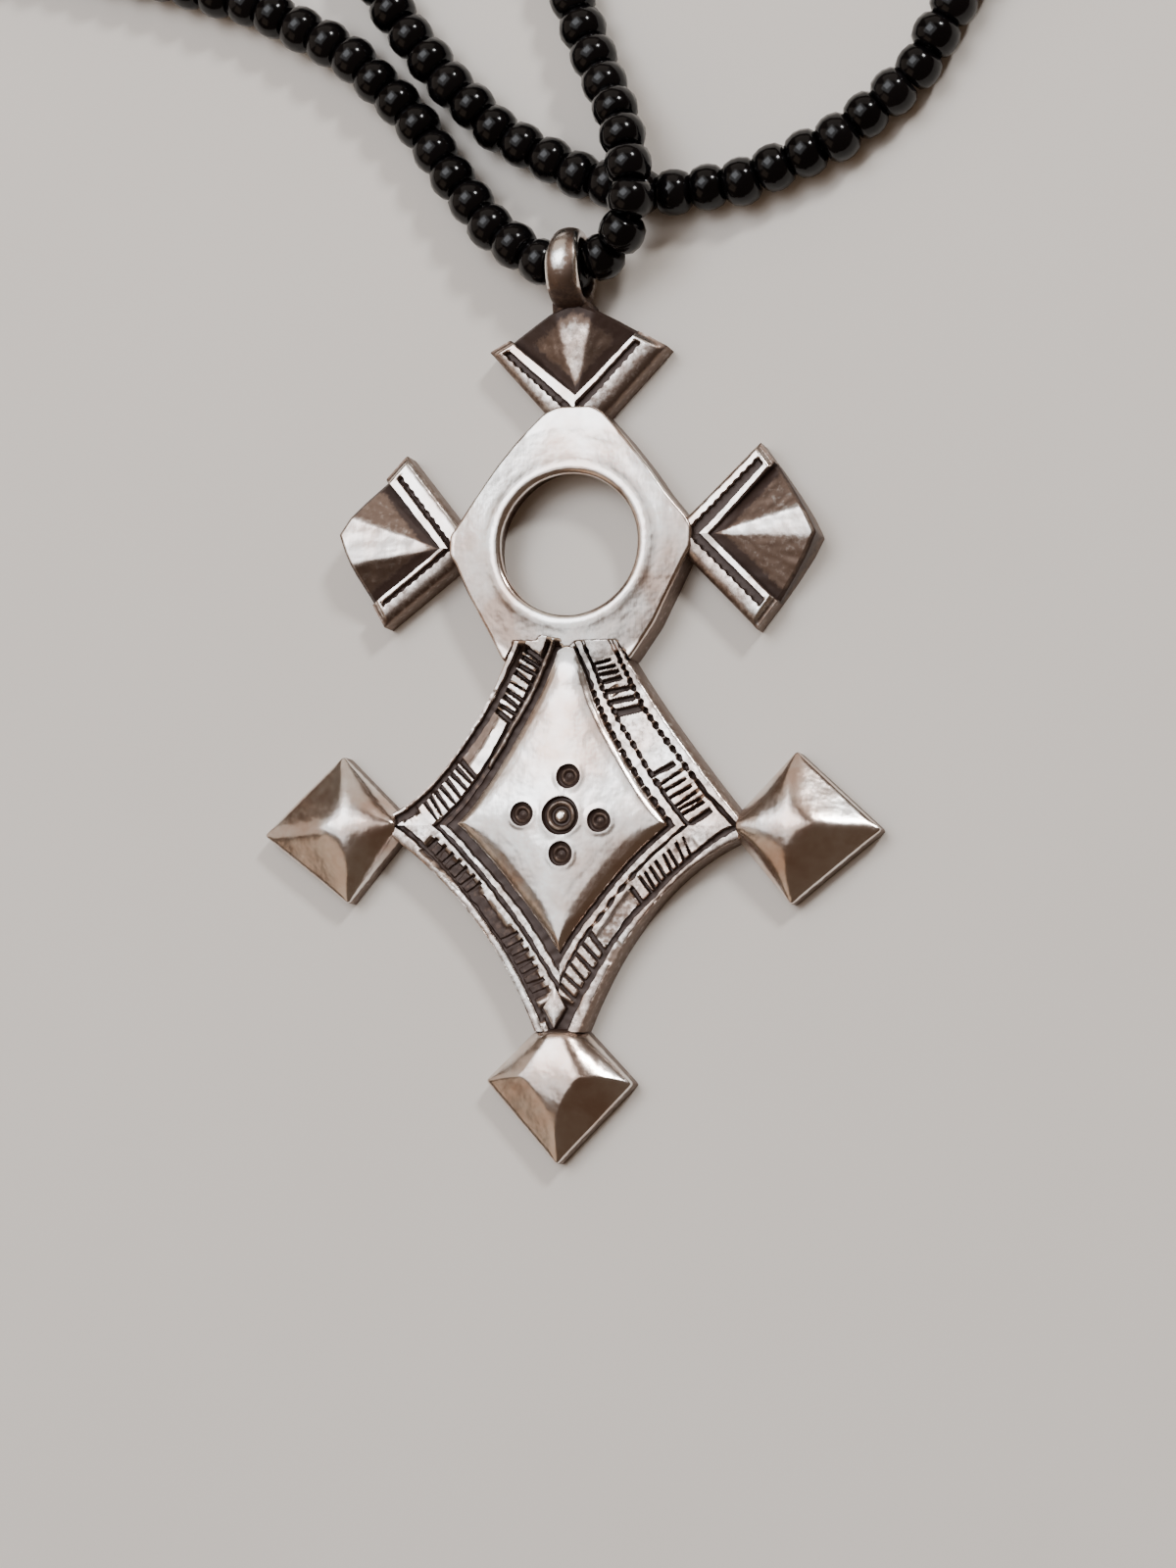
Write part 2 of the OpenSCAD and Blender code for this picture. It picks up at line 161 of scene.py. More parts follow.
# Lower lozenge
CORNER_Y = -0.6
WAIST_L, WAIST_R = Vector((-4.35, 10.5)), Vector((4.35, 10.5))
LEFT_HI, LEFT_LO = Vector((-12.0, 0.35)), Vector((-12.0, -1.55))
RIGHT_HI, RIGHT_LO = Vector((12.0, 0.35)), Vector((12.0, -1.55))
BOTTOM_L, BOTTOM_R = Vector((-1.7, -14.3)), Vector((1.7, -14.3))

# The four sides of the lozenge, anticlockwise. Places along a side are shares of its run from end to
# end, and places across it are distances in from its outline.
# film: the patina on its faces, which also paints part of the warm reflection on its flats. ends: its two
# ends. pull: where along the chord it is pulled in most, and by how much. run: the stretch that is modelled.
# lines: where the rim's flat starts, then the start and end of each groove (outer, middle, inner).
# Between the outer and middle grooves lies the band, and between the next two the thin strip.
# open: the stretch over which each groove is open.
# cuts: the chisel cuts of the band's two ladders, with half their width at the outer side and at the
# inner side. slant and across: how each ladder's cuts slant, and where across the band they lie.
# low: worn or dark areas, as stretches along and across, with the height and the patina left there.
# dashed: grooves struck as dashes: which groove, its stretch, and the pitch of its dashes.
SIDES = [
    {
        "film": 0.2, "ends": (WAIST_L, LEFT_HI), "pull": (0.70, 0.165), "run": (-0.17, 1.05),
        "lines": [
            (-0.13, (0.06, 0.50, 0.90, 2.25, 2.52, 2.76, 3.18)),
            (0.05, (0.06, 0.42, 0.88, 2.26, 2.48, 2.74, 3.15)),
            (0.25, (0.06, 0.30, 0.80, 2.08, 2.33, 2.58, 3.05)),
            (0.45, (0.06, 0.20, 0.60, 2.20, 2.40, 2.62, 3.08)),
            (0.80, (0.06, 0.24, 0.60, 2.35, 2.60, 2.85, 3.30)),
            (1.00, (0.06, 0.35, 0.90, 2.50, 2.75, 3.00, 3.45)),
        ],
        "open": ((-0.072, 1.5), (-0.14, 1.5), (-0.14, 1.5)),
        "cuts": [
            ((-0.062, 0.13, 0.13), (-0.034, 0.08, 0.09), (-0.003, 0.10, 0.08), (0.029, 0.10, 0.07),
             (0.066, 0.03, 0.03), (0.101, 0.09, 0.08), (0.131, 0.11, 0.07), (0.163, 0.08, 0.09),
             (0.195, 0.12, 0.14)),
            ((0.475, 0.17, 0.13), (0.512, 0.15, 0.07), (0.553, 0.16, 0.07), (0.597, 0.17, 0.08),
             (0.645, 0.15, 0.06), (0.690, 0.17, 0.08), (0.735, 0.14, 0.06), (0.778, 0.16, 0.05)),
        ],
        "slant": (0.1, 0.12), "across": ((0.9, 2.3), (0.5, 2.12)),
        "low": [(0.18, 0.47, 0.25, 1.32, 0.72, 0.6), (0.41, 0.82, 2.3, 3.15, 0.3, 0.86),
                (-0.12, 0.42, 2.25, 2.95, 0.8, 0.5), (0.12, 0.9, -0.2, 0.3, 0.85, 0.42),
                (0.84, 0.96, 0.35, 0.95, 0.1, 1.0)],
        "dashed": [],
    },
    {
        "film": 0.36, "ends": (LEFT_LO, BOTTOM_L), "pull": (0.50, 0.147), "run": (-0.05, 1.07),
        "lines": [
            (-0.05, (0.1, 0.85, 1.20, 2.60, 2.90, 3.20, 3.70)),
            (0.10, (0.1, 0.78, 1.10, 2.42, 2.70, 3.10, 3.62)),
            (0.30, (0.08, 0.62, 0.85, 2.22, 2.50, 2.87, 3.45)),
            (0.50, (0.08, 0.50, 0.72, 2.15, 2.44, 2.93, 3.38)),
            (0.75, (0.08, 0.52, 0.80, 2.30, 2.58, 3.06, 3.66)),
            (1.00, (0.1, 0.60, 1.00, 2.70, 3.00, 3.40, 3.90)),
        ],
        "open": ((-9, 0.985), (-9, 9), (-9, 9)),
        "cuts": [
            ((0.14, 0.24, 0.12), (0.185, 0.2, 0.1), (0.225, 0.2, 0.1), (0.265, 0.2, 0.1),
             (0.305, 0.2, 0.1), (0.345, 0.2, 0.1), (0.385, 0.2, 0.1)),
            ((0.625, 0.2, 0.1), (0.665, 0.2, 0.1), (0.705, 0.2, 0.1), (0.745, 0.2, 0.1),
             (0.785, 0.2, 0.1), (0.83, 0.2, 0.1), (0.875, 0.24, 0.2)),
        ],
        "slant": (0.05, 0.05), "across": ((0.5, 1.95), (0.5, 2.0)),
        "low": [(0.12, 0.41, 0.55, 1.75, 0.38, 0.9), (0.39, 0.61, 0.55, 1.55, 0.38, 0.9),
                (0.59, 0.90, 0.55, 1.8, 0.38, 0.9), (0.925, 1.2, 0.95, 9.0, 0.0, 1.0)],
        "dashed": [],
    },
    {
        "film": 0.36, "ends": (BOTTOM_R, RIGHT_LO), "pull": (0.60, 0.200), "run": (-0.07, 1.06),
        "lines": [
            (-0.05, (0.3, 1.10, 1.60, 2.80, 3.10, 3.40, 3.70)),
            (0.10, (0.25, 0.92, 1.38, 2.75, 2.95, 3.42, 3.68)),
            (0.25, (0.2, 0.70, 1.08, 2.62, 2.82, 3.28, 3.55)),
            (0.40, (0.12, 0.60, 1.02, 2.35, 2.58, 3.02, 3.30)),
            (0.55, (0.08, 0.38, 0.75, 2.30, 2.50, 2.95, 3.22)),
            (0.75, (0.08, 0.42, 0.78, 2.38, 2.55, 2.98, 3.25)),
            (1.00, (0.08, 0.70, 1.10, 2.60, 2.80, 3.20, 3.50)),
        ],
        "open": ((0.0, 9), (-9, 9), (-9, 9)),
        "cuts": [
            ((0.092, 0.12, 0.1), (0.130, 0.1, 0.09), (0.166, 0.07, 0.06), (0.208, 0.12, 0.1),
             (0.250, 0.1, 0.1), (0.291, 0.16, 0.15)),
            ((0.512, 0.14, 0.14), (0.566, 0.11, 0.09), (0.590, 0.08, 0.07), (0.621, 0.11, 0.08),
             (0.652, 0.1, 0.08), (0.690, 0.1, 0.08), (0.720, 0.1, 0.08), (0.757, 0.1, 0.07),
             (0.792, 0.07, 0.05)),
        ],
        "slant": (0.28, 0.2), "across": ((1.0, 2.75), (0.5, 1.97)),
        "low": [(0.30, 0.505, 0.95, 1.92, 0.7, 0.5), (0.25, 0.33, 0.0, 0.62, 0.75, 0.6),
                (0.74, 0.83, 0.9, 1.7, 0.85, 0.4), (-0.2, 0.07, 1.0, 9.0, 0.0, 1.0)],
        "dashed": [(1, 0.30, 0.58, 0.064)],
    },
    {
        "film": 0.3, "ends": (RIGHT_HI, WAIST_R), "pull": (0.65, 0.030), "run": (-0.06, 1.34),
        "lines": [
            (-0.05, (0.25, 0.55, 0.85, 3.00, 3.30, 3.75, 4.10)),
            (0.15, (0.3, 0.83, 1.08, 3.08, 3.34, 3.93, 4.17)),
            (0.35, (0.3, 0.84, 1.08, 3.03, 3.29, 3.88, 4.11)),
            (0.50, (0.3, 0.85, 1.09, 2.85, 3.08, 3.74, 3.96)),
            (0.70, (0.25, 0.84, 1.06, 2.72, 2.94, 3.53, 3.75)),
            (0.90, (0.2, 0.58, 0.80, 2.56, 2.78, 3.21, 3.43)),
            (1.10, (0.14, 0.40, 0.60, 2.22, 2.42, 2.82, 3.02)),
            (1.30, (0.1, 0.40, 0.56, 2.10, 2.26, 2.74, 2.86)),
        ],
        "open": ((-9, 1.10), (-9, 1.27), (-9, 1.3)),
        "cuts": [
            ((0.082, 0.14, 0.12), (0.131, 0.08, 0.06), (0.155, 0.06, 0.06), (0.181, 0.07, 0.06),
             (0.221, 0.07, 0.06), (0.262, 0.07, 0.06), (0.301, 0.08, 0.07), (0.354, 0.15, 0.12)),
            ((0.722, 0.3, 0.3), (0.800, 0.21, 0.19), (0.875, 0.19, 0.2), (0.952, 0.2, 0.17),
             (1.010, 0.16, 0.14), (1.056, 0.13, 0.13), (1.104, 0.14, 0.12)),
        ],
        "slant": (0.12, 0.52), "across": ((1.42, 3.15), (1.1, 2.8)),
        "low": [(0.85, 0.9, 1.7, 2.3, 0.6, 0.5)],
        "dashed": [(0, 0.22, 1.05, 0.052), (1, 0.3, 1.0, 0.056), (2, 0.14, 1.0, 0.056)],
    },
]
# Rows across a border: what it belongs to, the lines that it lies between, its share of the way,
# how far it is moved in, and its height, where 1 is the top of the rim and 0 the floor of a groove.
BORDER_ROWS = [
    ("rim", 0, 0, 0.0, 0.0, 0.90), ("rim", 0, 0, 0.0, 0.08, 1.0), ("rim", 0, 1, 0.5, 0.0, 1.0),
    ("rim", 1, 1, 0.0, -0.07, 1.0), ("rim", 1, 1, 0.0, 0.0, 0.75), ("groove0", 1, 1, 0.0, 0.05, 0.1),
    ("groove0", 1, 2, 0.5, 0.0, 0.0), ("groove0", 2, 2, 0.0, -0.05, 0.1), ("band", 2, 2, 0.0, 0.0, 0.75),
    ("band", 2, 2, 0.0, 0.07, 1.0), ("band", 2, 3, 0.15, 0.0, 1.0), ("band", 2, 3, 0.26, 0.0, 1.0),
    ("band", 2, 3, 0.37, 0.0, 1.0), ("band", 2, 3, 0.48, 0.0, 1.0), ("band", 2, 3, 0.59, 0.0, 1.0),
    ("band", 2, 3, 0.70, 0.0, 1.0), ("band", 2, 3, 0.80, 0.0, 1.0), ("band", 2, 3, 0.89, 0.0, 1.0),
    ("band", 3, 3, 0.0, -0.05, 1.0), ("band", 3, 3, 0.0, 0.0, 0.75), ("groove1", 3, 3, 0.0, 0.05, 0.1),
    ("groove1", 4, 4, 0.0, -0.05, 0.1), ("strip", 4, 4, 0.0, 0.0, 0.7), ("strip", 4, 4, 0.0, 0.07, 1.0),
    ("strip", 5, 5, 0.0, -0.07, 1.0), ("strip", 5, 5, 0.0, 0.0, 0.7), ("groove2", 5, 5, 0.0, 0.05, 0.1),
    ("groove2", 5, 6, 0.5, 0.0, 0.0), ("groove2", 6, 6, 0.0, 0.2, 0.1),
]
# Down the side of the border, from the outline. Columns: share of the way to the flat, height, patina.
BORDER_SIDE = [(0.0, 1.35, WALL_PATINA), (0.35, 1.85, WALL_PATINA), (0.75, 2.08, 0.5)]
# The border ends at these places on the plate, to the left and right and at its foot and top
SLAB_END_X, SLAB_END_Y = 12.02, (-14.32, 12.6)
# Below the centre punch the plate sinks a little, this much for each millimetre
SAG = 0.018
COLUMN_STEP = 0.04
# The sides of a chisel cut and its ends are this soft, and the cuts of a ladder lean by up to this
# much more or less than one another. A ladder is looked for this far past its first and last cuts.
CUT_SOFT, CUT_END_SOFT = 0.05, 0.06
LEAN_VARIES = 0.06
LADDER_MARGIN = 0.06
# How soft the ends of a groove are, and the edges of a worn area across and along its side
OPEN_SOFT = 0.018
LOW_SOFT_ACROSS, LOW_SOFT_ALONG = 0.08, 0.01
# A dashed groove swells by this much, closes by this share between its dashes, and has soft ends
DASH_SWELL, DASH_GAP, DASH_SOFT = 0.05, 0.8, 0.02
# The gaps between dashes are as narrow as this power makes them
DASH_POWER = 3
# The unevenness of the border's faces dies out between these places on the plate
CALM_Y = (9.5, 11.0)

# Small raised diamond at the foot of the lozenge. Columns of its rows: share of the way in from its
# outline, height, patina.
DIAMOND = Vector((-0.25, -12.75))
DIAMOND_HALF_W, DIAMOND_HALF_H = 0.85, 1.5
DIAMOND_STEPS = 32
DIAMOND_ROWS = [(0.0, 1.95, 0.8), (0.12, 2.18, 0.3), (0.3, 2.22, 0.3), (0.65, 2.24, 0.3), (1.0, 2.24, 0.3)]

# Pillow: over its edge, from the outline inwards. Columns: distance in, height above the rim,
# patina.
PILLOW_EDGE = [(0.0, -0.42, 1.0), (0.05, -0.2, 0.8), (0.12, 0.0, 0.3)]
# How it rises from there. Columns: distance in from the nearest side, height above the rim.
PILLOW_RISE = [
    (0.0, (0.0,)), (0.12, (0.0,)), (0.3, (0.14,)), (0.5, (0.24,)), (0.7, (0.29,)), (1.1, (0.38,)),
    (2.0, (0.53,)), (3.2, (0.68,)), (4.6, (0.80,)), (7.0, (0.9,)),
]
PILLOW_TOP_Y = 11.5
# The two ends of the stretch of each side's innermost line that bounds the pillow. Columns: the axis
# (0 for x, 1 for y) and the value at which it ends, and the places along the side it lies between.
PILLOW_ENDS = [
    ((1, PILLOW_TOP_Y, -0.2, 0.2), (1, CORNER_Y, 0.5, 1.0)),
    ((1, CORNER_Y, 0.0, 0.5), (0, 0.0, 0.5, 1.0)),
    ((0, 0.0, 0.0, 0.5), (1, CORNER_Y, 0.5, 1.0)),
    ((1, CORNER_Y, 0.0, 0.5), (1, PILLOW_TOP_Y, 0.9, 1.34)),
]
# How often the stretch between two places is halved to find where the line crosses the value
HALVINGS = 40
PILLOW_STEPS = 100
# The rings close in on this middle, and crowd towards the edge by this power
PILLOW_MIDDLE_X = 0.1
PILLOW_RINGS, PILLOW_CROWD = 46, 1.35
# How soft the ridges are, and the heights above the rim over which they, and its unevenness, begin
PILLOW_SOFT = 0.13
PILLOW_RIDGE_FROM, PILLOW_UNEVEN_FROM = (0.1, 0.5), (0.1, 0.3)
# Near the waist it sinks to the rim's height, and its edge loses its patina, between these places
PILLOW_SINK_Y, PILLOW_BRIGHT_Y = (9.0, 11.2), (10.3, 11.2)

# Punch marks. Columns: x, y, radius, depth.
CENTRE_PUNCH = (0.0, 0.0, 1.33, 0.5)
SMALL_PUNCHES = [
    (0.46, 2.64, 0.85, 0.42), (-2.72, 0.12, 0.84, 0.42), (2.66, -0.3, 0.84, 0.42), (0.05, -2.54, 0.86, 0.42),
]
PITS = [(-3.89, -2.24, 0.15, 0.2), (0.64, -6.19, 0.1, 0.15), (3.2, -3.4, 0.07, 0.1)]
# Section of a punch from its rim to its middle. Columns: share of the radius, share of the depth,
# patina.
CENTRE_SECTION = [(1.0, 0.0, 0.3), (0.96, 0.55, 0.9), (0.88, 0.95, 1.0), (0.8, 0.9, 0.95), (0.72, 0.5, 0.55),
                  (0.64, 0.42, 0.45), (0.56, 0.55, 0.7), (0.48, 0.98, 1.0), (0.4, 1.0, 1.0), (0.33, 0.7, 0.6),
                  (0.24, 0.38, 0.1), (0.12, 0.22, 0.0), (0.0, 0.18, 0.0)]
SMALL_SECTION = [(1.0, 0.0, 0.35), (0.95, 0.5, 0.9), (0.86, 0.85, 1.0), (0.74, 0.95, 0.95), (0.62, 0.78, 0.8),
                 (0.52, 0.72, 0.75), (0.42, 0.85, 0.9), (0.3, 1.1, 1.0), (0.18, 1.05, 0.9), (0.0, 0.85, 0.8)]
PIT_SECTION = [(1.0, 0.0, 0.6), (0.7, 0.7, 1.0), (0.0, 1.0, 1.0)]
# The marks of each kind, with their section and the pillow's rise above the rim there
MARKS = [
    ([CENTRE_PUNCH], CENTRE_SECTION, 0.8), (SMALL_PUNCHES, SMALL_SECTION, 0.7), (PITS, PIT_SECTION, 0.62),
]
PUNCH_STEPS = 40
# How quickly the unevenness of a punch changes round it
PUNCH_WAVES = 1.3
# The shape that is driven in goes on above the face by this much, with this patina
PUNCH_HEAD, PUNCH_HEAD_PATINA = 2.0, 0.3
# The burr raised round a punch: how far from its rim it reaches, and its height
BURR_W, BURR_H = 0.36, 0.035

# Fans. turn: in degrees. neck and neck_w: its neck and the neck's width. reach: of its outer edge.
# corner and half_w: the reach of its corners, and its half width there. ridges: the two angles that its
# middle facet lies between. upper and lower: for each arm, at the inner corner and at the outer edge, how
# far in the first strip, the groove and the second strip end. patina: on the middle facet. shelf: how far
# in from the outer edge a darker shelf lies. films: for each arm, the film on its outer and inner strip.
Fan = namedtuple("Fan", "turn neck neck_w reach corner half_w ridges upper lower patina shelf films")
FANS = [
    Fan(90, Vector((0.0, 27.2)), 4.1, 7.55, 4.55, 6.25, (-13, 15),
        ((1.25, 1.68, 2.45), (0.58, 0.98, 1.52)), ((1.4, 1.95, 2.4), (1.45, 1.88, 2.2)), 0.36, 1.7,
        ((0.3, 0.1), (0.38, 0.28))),
    Fan(0, Vector((7.95, 18.72)), 2.7, 9.0, 4.9, 6.25, (-3, 14),
        ((0.75, 1.5, 2.0), (0.70, 1.22, 1.65)), ((1.2, 1.72, 2.2), (1.25, 1.78, 2.25)), 0.15, 0.25,
        ((0.08, 0.26), (0.3, 0.25))),
    Fan(174, Vector((-8.0, 18.4)), 2.7, 8.45, 4.65, 5.95, (-13, 16),
        ((1.08, 1.4, 1.7), (1.12, 1.42, 1.75)), ((1.2, 1.52, 2.05), (1.13, 1.45, 2.1)), 0.1, 0.25,
        ((0.32, 0.24), (0.08, 0.18))),
]
# The outer edge from a corner to the tip. Columns: share of the way out, share of the half width.
FAN_ARC = [(0.33, 0.71), (0.62, 0.44), (0.85, 0.2)]
FAN_ARC_STEPS = 8
# The facets rise from the inner corner to the crest, and fall towards the strips
FAN_APEX_Z, FAN_CREST_Z, FAN_FOOT_FALL = 1.95, 2.85, 0.1
# How soft the ridges between the facets are, how far the facets drop at the outer edge, and over
# which distances from it
FAN_SOFT = 0.025
FAN_EDGE_DROP, FAN_EDGE = 0.3, (-0.02, 0.24)
FACET_COLUMNS, FACET_RINGS = 84, 26
# Patina: on the side facets, which begin this softly, on the shelf, and beside the strips
FLANK_PATINA, FLANK_SOFT = 0.6, 0.08
SHELF_PATINA = 0.7
FOOT_PATINA, FAN_FOOT = 0.75, (0.1, 1.1)
# Lines along an arm are followed to the outer edge from this far back, and stop just short of it
RAY_BACK, RIM_GAP = 2.0, 0.01
# Along an arm the strips start inside the body, where they climb to its height
STRIP_START = -1.5
STRIP_NECK, STRIP_NECK_RISE = (-0.9, 1.4), 0.18
STRIP_COLUMNS = 110
# The outer strip rounds off outwards by so much for its film, which grows there
STRIP_FALL, STRIP_EDGE_FILM = 2.0, 0.35
# At its end the arm falls to this much above the grooves' floor, over these distances, and is darker
STRIP_FINISH, STRIP_END_Z, STRIP_END_PATINA = (0.12, 0.55), 0.1, 0.62
# The groove runs out over these distances from the end, and its outer edge is scalloped
GROOVE_END = (0.62, 0.85)
SCALLOP, SCALLOP_PITCH = 0.04, 0.62
# Rows across an arm of a fan: the lines that it lies between (outline, first strip, groove, second
# strip), its share of the way, how far it is moved in, its height as in the border, its patina.
FAN_ROWS = [
    (0, 0, 0.0, 0.0, -1.0, WALL_PATINA), (0, 1, 0.03, 0.0, -0.1, WALL_PATINA), (0, 1, 0.09, 0.0, 0.5, 0.5),
    (0, 1, 0.18, 0.0, 0.82, 0.15), (0, 1, 0.32, 0.0, 0.97, 0.0), (0, 1, 0.5, 0.0, 1.0, 0.0),
    (0, 1, 0.75, 0.0, 1.0, 0.0), (1, 1, 0.0, -0.07, 1.0, 0.0), (1, 1, 0.0, 0.0, 0.75, 0.15),
    (1, 1, 0.0, 0.05, 0.1, 1.0), (1, 2, 0.5, 0.0, 0.0, 1.0), (2, 2, 0.0, -0.05, 0.1, 1.0),
    (2, 2, 0.0, 0.0, 0.75, 0.2), (2, 2, 0.0, 0.07, 1.0, 0.0), (2, 3, 0.5, 0.0, 1.0, 0.0),
    (3, 3, 0.0, -0.07, 1.0, 0.0), (3, 3, 0.0, 0.0, 0.75, 0.25), (3, 3, 0.0, 0.04, 0.2, 0.95),
    (3, 3, 0.0, 0.1, -1.2, 1.0),
]
# The rows whose lines waver, first and last
WAVERING_ROWS = (3, 16)

# Points. turn: in degrees. neck and neck_w: its neck and the neck's width. reach: of its tip. corner and
# half_w: the reach of its side corners, and its half width there. crest: the reach of its crest.
# filed: whether it is filed into flat faces.
PyramidPoint = namedtuple("PyramidPoint", "turn neck neck_w reach corner half_w crest filed")
POINTS = [
    PyramidPoint(-1, Vector((12.0, -0.6)), 1.85, 9.5, 3.6, 5.1, 4.9, False),
    PyramidPoint(184, Vector((-12.0, -0.6)), 1.85, 9.7, 3.7, 5.1, 4.6, False),
    PyramidPoint(270, Vector((0.0, -14.25)), 3.2, 8.9, 3.4, 5.15, 3.6, True),
]
# Where along a point its outline starts, and its width stops narrowing
POINT_START, POINT_NECK_X = -0.15, -0.3
POINT_EDGE_Z, POINT_CREST_Z = 1.5, 3.4
# Along the ridge of a point. Columns: place along it, height.
POINT_RIDGE = [(-0.5, (2.32,)), (0.0, (2.42,)), (1.5, (2.86,)), (3.4, (3.2,)), (5.0, (3.3,)), (12.0, (3.3,))]
# Over the edge of a point. Columns: share of the way from its outline to its crest, height below the
# face, patina. Then come even rings to the crest.
POINT_EDGE = [(0.0, 0.35, WALL_PATINA), (0.006, 0.14, 0.3), (0.016, 0.05, 0.0), (0.035, 0.0, 0.0)]
POINT_RINGS = 16
# How full a point is across, at its neck and at its crest: 1 is a sharp ridge, 2 a round one
POINT_FULLNESS = (2.3, 1.7)
# The filed face of the bottom point: its height at the neck, its rise for each millimetre along it,
# how it curves down, and its rise for each millimetre across it.
FILED_FACE = (2.4, 0.27, -0.044, 0.06)
# The notch at its neck
NOTCH_W, NOTCH_DEPTH = 0.3, 0.35
# How soft the ridges of a point are, cast and filed
POINT_SOFT, FILED_SOFT = 0.24, 0.03

# Bail: its middle, and the radius, thickness and width of its band
BAIL_X, BAIL_Y = -0.35, 37.094
BAIL_R, BAIL_T, BAIL_W = 2.75, 0.8, 2.3
# Up one side of the band from its inner face. Columns: height, share of the half width, patina.
BAIL_FLANK = [(0.0, 0.6, 0.8), (0.08, 0.9, 0.5), (0.28, 1.0, 0.2)]
# The rounded outside starts at this height, and is as full as this power makes it: 1 is an ellipse
BAIL_SHOULDER, BAIL_FULLNESS = 0.36, 0.85
BAIL_ARC_STEPS, BAIL_STEPS = 8, 64
BAIL_EDGE_PATINA, BAIL_FACE_PATINA = 0.1, 0.62
# The band narrows by this share to its top, from this share of its radius above its middle
BAIL_TAPER, BAIL_TAPER_FROM = 0.3, 0.1
# A highlight is painted where the band faces the viewer, by thinning its patina there: degrees over
# which that starts and ends, its middle across the band, the shares of the half width over which it
# fades, and the patina left
PAINTED_HIGHLIGHT_FROM, PAINTED_HIGHLIGHT_TO = (28, 50), (80, 118)
PAINTED_HIGHLIGHT_X, PAINTED_HIGHLIGHT_ACROSS, PAINTED_HIGHLIGHT_PATINA = -0.1, (0.1, 0.55), 0.05
# It darkens towards the block, between these places from its middle
BAIL_FOOT, BAIL_FOOT_PATINA = (-2.1, -1.5), 0.78
# The block: its lower end, its gap to the inside of the band, its width, and its height at the upper
# and the lower end
BLOCK_Y, BLOCK_GAP = 33.45, 0.12
BLOCK_W, BLOCK_H, BLOCK_LOW_H = 2.6, 3.0, 2.3
BLOCK_ROUND, BLOCK_PATINA = 0.35, 0.8

# Route of the bead string in metres, from the middle of the bail in the plane and up from the floor
ROUTE = [
    (0.0, 0.0, 0.00275), (0.0024, 0.0007, 0.0031), (0.0042, 0.0024, 0.0043), (0.0047, 0.0046, 0.005),
    (0.0042, 0.0074, 0.0048), (0.0032, 0.0103, 0.0038), (0.0016, 0.0135, 0.0025), (-0.0001, 0.0173, 0.0017),
    (-0.0045, 0.0295, 0.0016), (-0.0095, 0.046, 0.0016), (-0.012, 0.0635, 0.0016), (-0.0095, 0.081, 0.0016),
    (-0.001, 0.0965, 0.0016), (0.013, 0.107, 0.0016), (0.0305, 0.1095, 0.0016), (0.046, 0.1015, 0.0016),
    (0.055, 0.0865, 0.0016), (0.0565, 0.069, 0.0016), (0.051, 0.052, 0.0016), (0.0415, 0.0375, 0.0016),
    (0.032, 0.027, 0.0016), (0.0268, 0.019, 0.0016), (0.023, 0.0122, 0.0016), (0.0177, 0.0081, 0.0016),
    (0.0115, 0.0057, 0.0016), (0.0056, 0.0051, 0.0016), (0.0005, 0.0065, 0.0016), (-0.0057, 0.01, 0.0016),
    (-0.0097, 0.0139, 0.0016), (-0.0134, 0.0184, 0.0016), (-0.0195, 0.03, 0.0016), (-0.025, 0.0465, 0.0016),
    (-0.028, 0.064, 0.0016), (-0.0335, 0.081, 0.0016), (-0.0455, 0.094, 0.0016), (-0.0625, 0.0985, 0.0016),
    (-0.079, 0.0935, 0.0016), (-0.0905, 0.08, 0.0016), (-0.094, 0.0625, 0.0016), (-0.0875, 0.046, 0.0016),
    (-0.0735, 0.0355, 0.0016), (-0.0565, 0.0295, 0.0016), (-0.0395, 0.0252, 0.0016), (-0.024, 0.0202, 0.0016),
    (-0.0172, 0.0164, 0.0016), (-0.0123, 0.0117, 0.00165), (-0.009, 0.007, 0.0019), (-0.0058, 0.003, 0.0022),
    (-0.0025, 0.0007, 0.0026),
]

# The route is drawn in by this share about the bail, because the beads are thicker than the string
# that it was laid out for, and its rises above its lowest height are scaled, so that the beads stay
# within the solid string's box
DRAWN_IN, RISE_SCALE, ROUTE_LOW = 0.003, 0.92, 0.0016
# The bends of the route lie at most this far apart, as on the solid string
RING_STEP = 0.0095

# Section of a bead, from one end of its hole round to the other. Columns: share of its radius, share
# of half its length.
BEAD_SECTION = [
    (0.3, -0.9), (0.62, -0.98), (0.88, -0.68), (1.0, -0.2), (1.0, 0.2), (0.88, 0.68), (0.62, 0.98),
    (0.3, 0.9),
]
BEAD_STEPS = 14
# Half a bead's length as a share of the pitch
BEAD_HALF = 0.53
# Beads differ in size and at their ends by these shares, and sit askew by up to this many radians
BEAD_SIZES, BEAD_ENDS, BEAD_TILT = (0.94, 1.0), (0.97, 1.0), 0.1
BEAD_SEED = 12
THREAD_SIDES = 8

# Lights, in metres. Columns: name, place, aim, size, brightness, colour.
LIGHTS = [
    ("window", (-0.2, 0.17, 0.65), (0.0, 0.0, 0.0), (0.68, 0.62), 1.65, "#f6f8fb"),
    ("bright_sky", (-0.22, 0.24, 0.66), (0.0, 0.0, 0.0), (0.36, 0.34), 4.5, "#f4f8ff"),
    ("far_wall", (-0.1, 0.75, 0.45), (0.0, 0.0, 0.0), (0.9, 0.6), 0.7, "#efe2d6"),
    ("left_wall", (-0.7, 0.1, 0.35), (0.0, 0.0, 0.0), (0.6, 0.6), 0.6, "#f0dfd0"),
    ("near_wall", (-0.45, -0.45, 0.45), (0.0, 0.0, 0.0), (0.45, 0.45), 0.8, "#d8bfa8"),
    ("lamp", (0.32, 0.42, 0.4), (0.0, 0.03, 0.0), (0.09, 0.09), 72.0, "#ffffff"),
]
ROOM_COLOUR, ROOM_STRENGTH = "#85705f", 0.5

